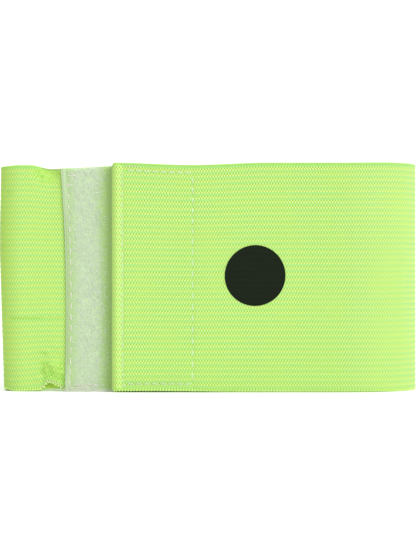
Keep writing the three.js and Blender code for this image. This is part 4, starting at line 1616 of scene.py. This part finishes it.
class ARMBAND_OT_stage(bpy.types.Operator):
    """Sets up the pale floor and backdrop, the soft lights and the camera"""

    bl_idname = "armband.stage"
    bl_label = "Stage"

    def execute(self, context):
        scene = context.scene
        settings = scene.armband_stage
        scene.view_settings.view_transform = "Standard"
        self.add_floor(scene, settings)
        self.add_lights(scene, settings)
        self.add_camera(scene, settings)
        return {"FINISHED"}

    def add_floor(self, scene, settings):
        """One pale sheet that runs back from the front and curves up behind the object"""
        bm = bmesh.new()
        bmesh.ops.create_grid(bm, x_segments=8, y_segments=160, size=0.5)
        width = 16.0
        depth = 12.6
        front = -10.0
        bend_start = 1.2
        bend = 0.6
        for vert in bm.verts:
            x = vert.co.x * width
            run = (vert.co.y + 0.5) * depth + front
            turn = min(max(run - bend_start, 0.0) / bend, math.pi / 2)
            rest = max(run - bend_start - bend * math.pi / 2, 0.0)
            y = min(run, bend_start) + bend * math.sin(turn)
            vert.co = (x, y, bend * (1 - math.cos(turn)) + rest)
        mesh = bpy.data.meshes.new("floor")
        bm.to_mesh(mesh)
        bm.free()
        for polygon in mesh.polygons:
            polygon.use_smooth = True
        material, wiring, shader = material_with("pale_floor", tuple(settings.floor_colour), 0.9)
        shader.inputs["Specular IOR Level"].default_value = 0.1
        mesh.materials.append(material)
        floor = bpy.data.objects.new("floor", mesh)
        scene.collection.objects.link(floor)

    def add_lights(self, scene, settings):
        """A soft key from the right, a wide light over the floor and an even room"""
        world = bpy.data.worlds.new("room")
        scene.world = world
        world.use_nodes = True
        background = world.node_tree.nodes["Background"]
        background.inputs["Color"].default_value = (1, 1, 1, 1)
        seen = world.node_tree.nodes.new("ShaderNodeLightPath")
        strength = world.node_tree.nodes.new("ShaderNodeMapRange")
        strength.inputs["To Min"].default_value = settings.fill
        strength.inputs["To Max"].default_value = 1.0
        world.node_tree.links.new(seen.outputs["Is Camera Ray"], strength.inputs["Value"])
        world.node_tree.links.new(strength.outputs["Result"], background.inputs["Strength"])
        target = Vector((0, BAND_LOW.y, settings.camera_height))
        key = bpy.data.lights.new("key", "SUN")
        key.energy = settings.key_power
        key.angle = settings.key_softness
        top = bpy.data.lights.new("top", "AREA")
        top.shape = "DISK"
        top.size = 1.6
        top.energy = settings.top_power
        for data, place in ((key, Vector((1.8, -1.8, 1.45))), (top, Vector((0.0, -0.1, 1.8)))):
            light = bpy.data.objects.new(data.name, data)
            turn = (place - target).to_track_quat("Z", "Y").to_matrix().to_4x4()
            light.matrix_world = Matrix.Translation(place) @ turn
            scene.collection.objects.link(light)

    def add_camera(self, scene, settings):
        """A level camera in front of the tab, as in the photograph"""
        data = bpy.data.cameras.new("camera")
        data.sensor_fit = "HORIZONTAL"
        data.sensor_width = 36
        data.lens = 36 * settings.camera_distance / settings.view_width
        data.clip_start = 0.01
        camera = bpy.data.objects.new("camera", data)
        place = Vector(
            (settings.camera_aside, BAND_LOW.y - settings.camera_distance, settings.camera_height)
        )
        camera.matrix_world = Matrix.Translation(place) @ Matrix.Rotation(math.pi / 2, 4, "X")
        scene.collection.objects.link(camera)
        scene.camera = camera


class ARMBAND_PT_panel(bpy.types.Panel):
    """Lists the armband's operators and settings"""

    bl_idname = "ARMBAND_PT_panel"
    bl_label = "Captain armband"
    bl_space_type = "VIEW_3D"
    bl_region_type = "UI"
    bl_category = "Armband"

    def draw(self, context):
        layout = self.layout
        for operator in OPERATORS:
            layout.operator(operator.bl_idname)
        for name, kind in SETTINGS:
            box = layout.box()
            box.label(text=kind.__doc__)
            for field in kind.__annotations__:
                box.prop(getattr(context.scene, name), field)


SETTINGS = (
    ("armband_webbing", WebbingSettings),
    ("armband_loop_shape", LoopShapeSettings),
    ("armband_closure", ClosureSettings),
    ("armband_gather", GatherSettings),
    ("armband_stitch", StitchSettings),
    ("armband_print", PrintSettings),
    ("armband_stage", StageSettings),
)
OPERATORS = (
    ARMBAND_OT_stage,
    ARMBAND_OT_webbing,
    ARMBAND_OT_selvage,
    ARMBAND_OT_loop_patch,
    ARMBAND_OT_hook_patch,
    ARMBAND_OT_stitches,
    ARMBAND_OT_print,
)


def register():
    """Registers the settings, the operators and the panel"""
    for name, kind in SETTINGS:
        bpy.utils.register_class(kind)
        setattr(bpy.types.Scene, name, PointerProperty(type=kind))
    for operator in OPERATORS:
        bpy.utils.register_class(operator)
    bpy.utils.register_class(ARMBAND_PT_panel)


def unregister():
    """Takes everything that register added away again"""
    bpy.utils.unregister_class(ARMBAND_PT_panel)
    for operator in reversed(OPERATORS):
        bpy.utils.unregister_class(operator)
    for name, kind in reversed(SETTINGS):
        delattr(bpy.types.Scene, name)
        bpy.utils.unregister_class(kind)


def main():
    """Builds the armband and its stage"""
    register()
    bpy.ops.armband.stage()
    bpy.ops.armband.webbing()
    bpy.ops.armband.selvage()
    bpy.ops.armband.loop_patch()
    bpy.ops.armband.hook_patch()
    bpy.ops.armband.stitches()
    bpy.ops.armband.print_disc()


if __name__ == "__main__":
    main()
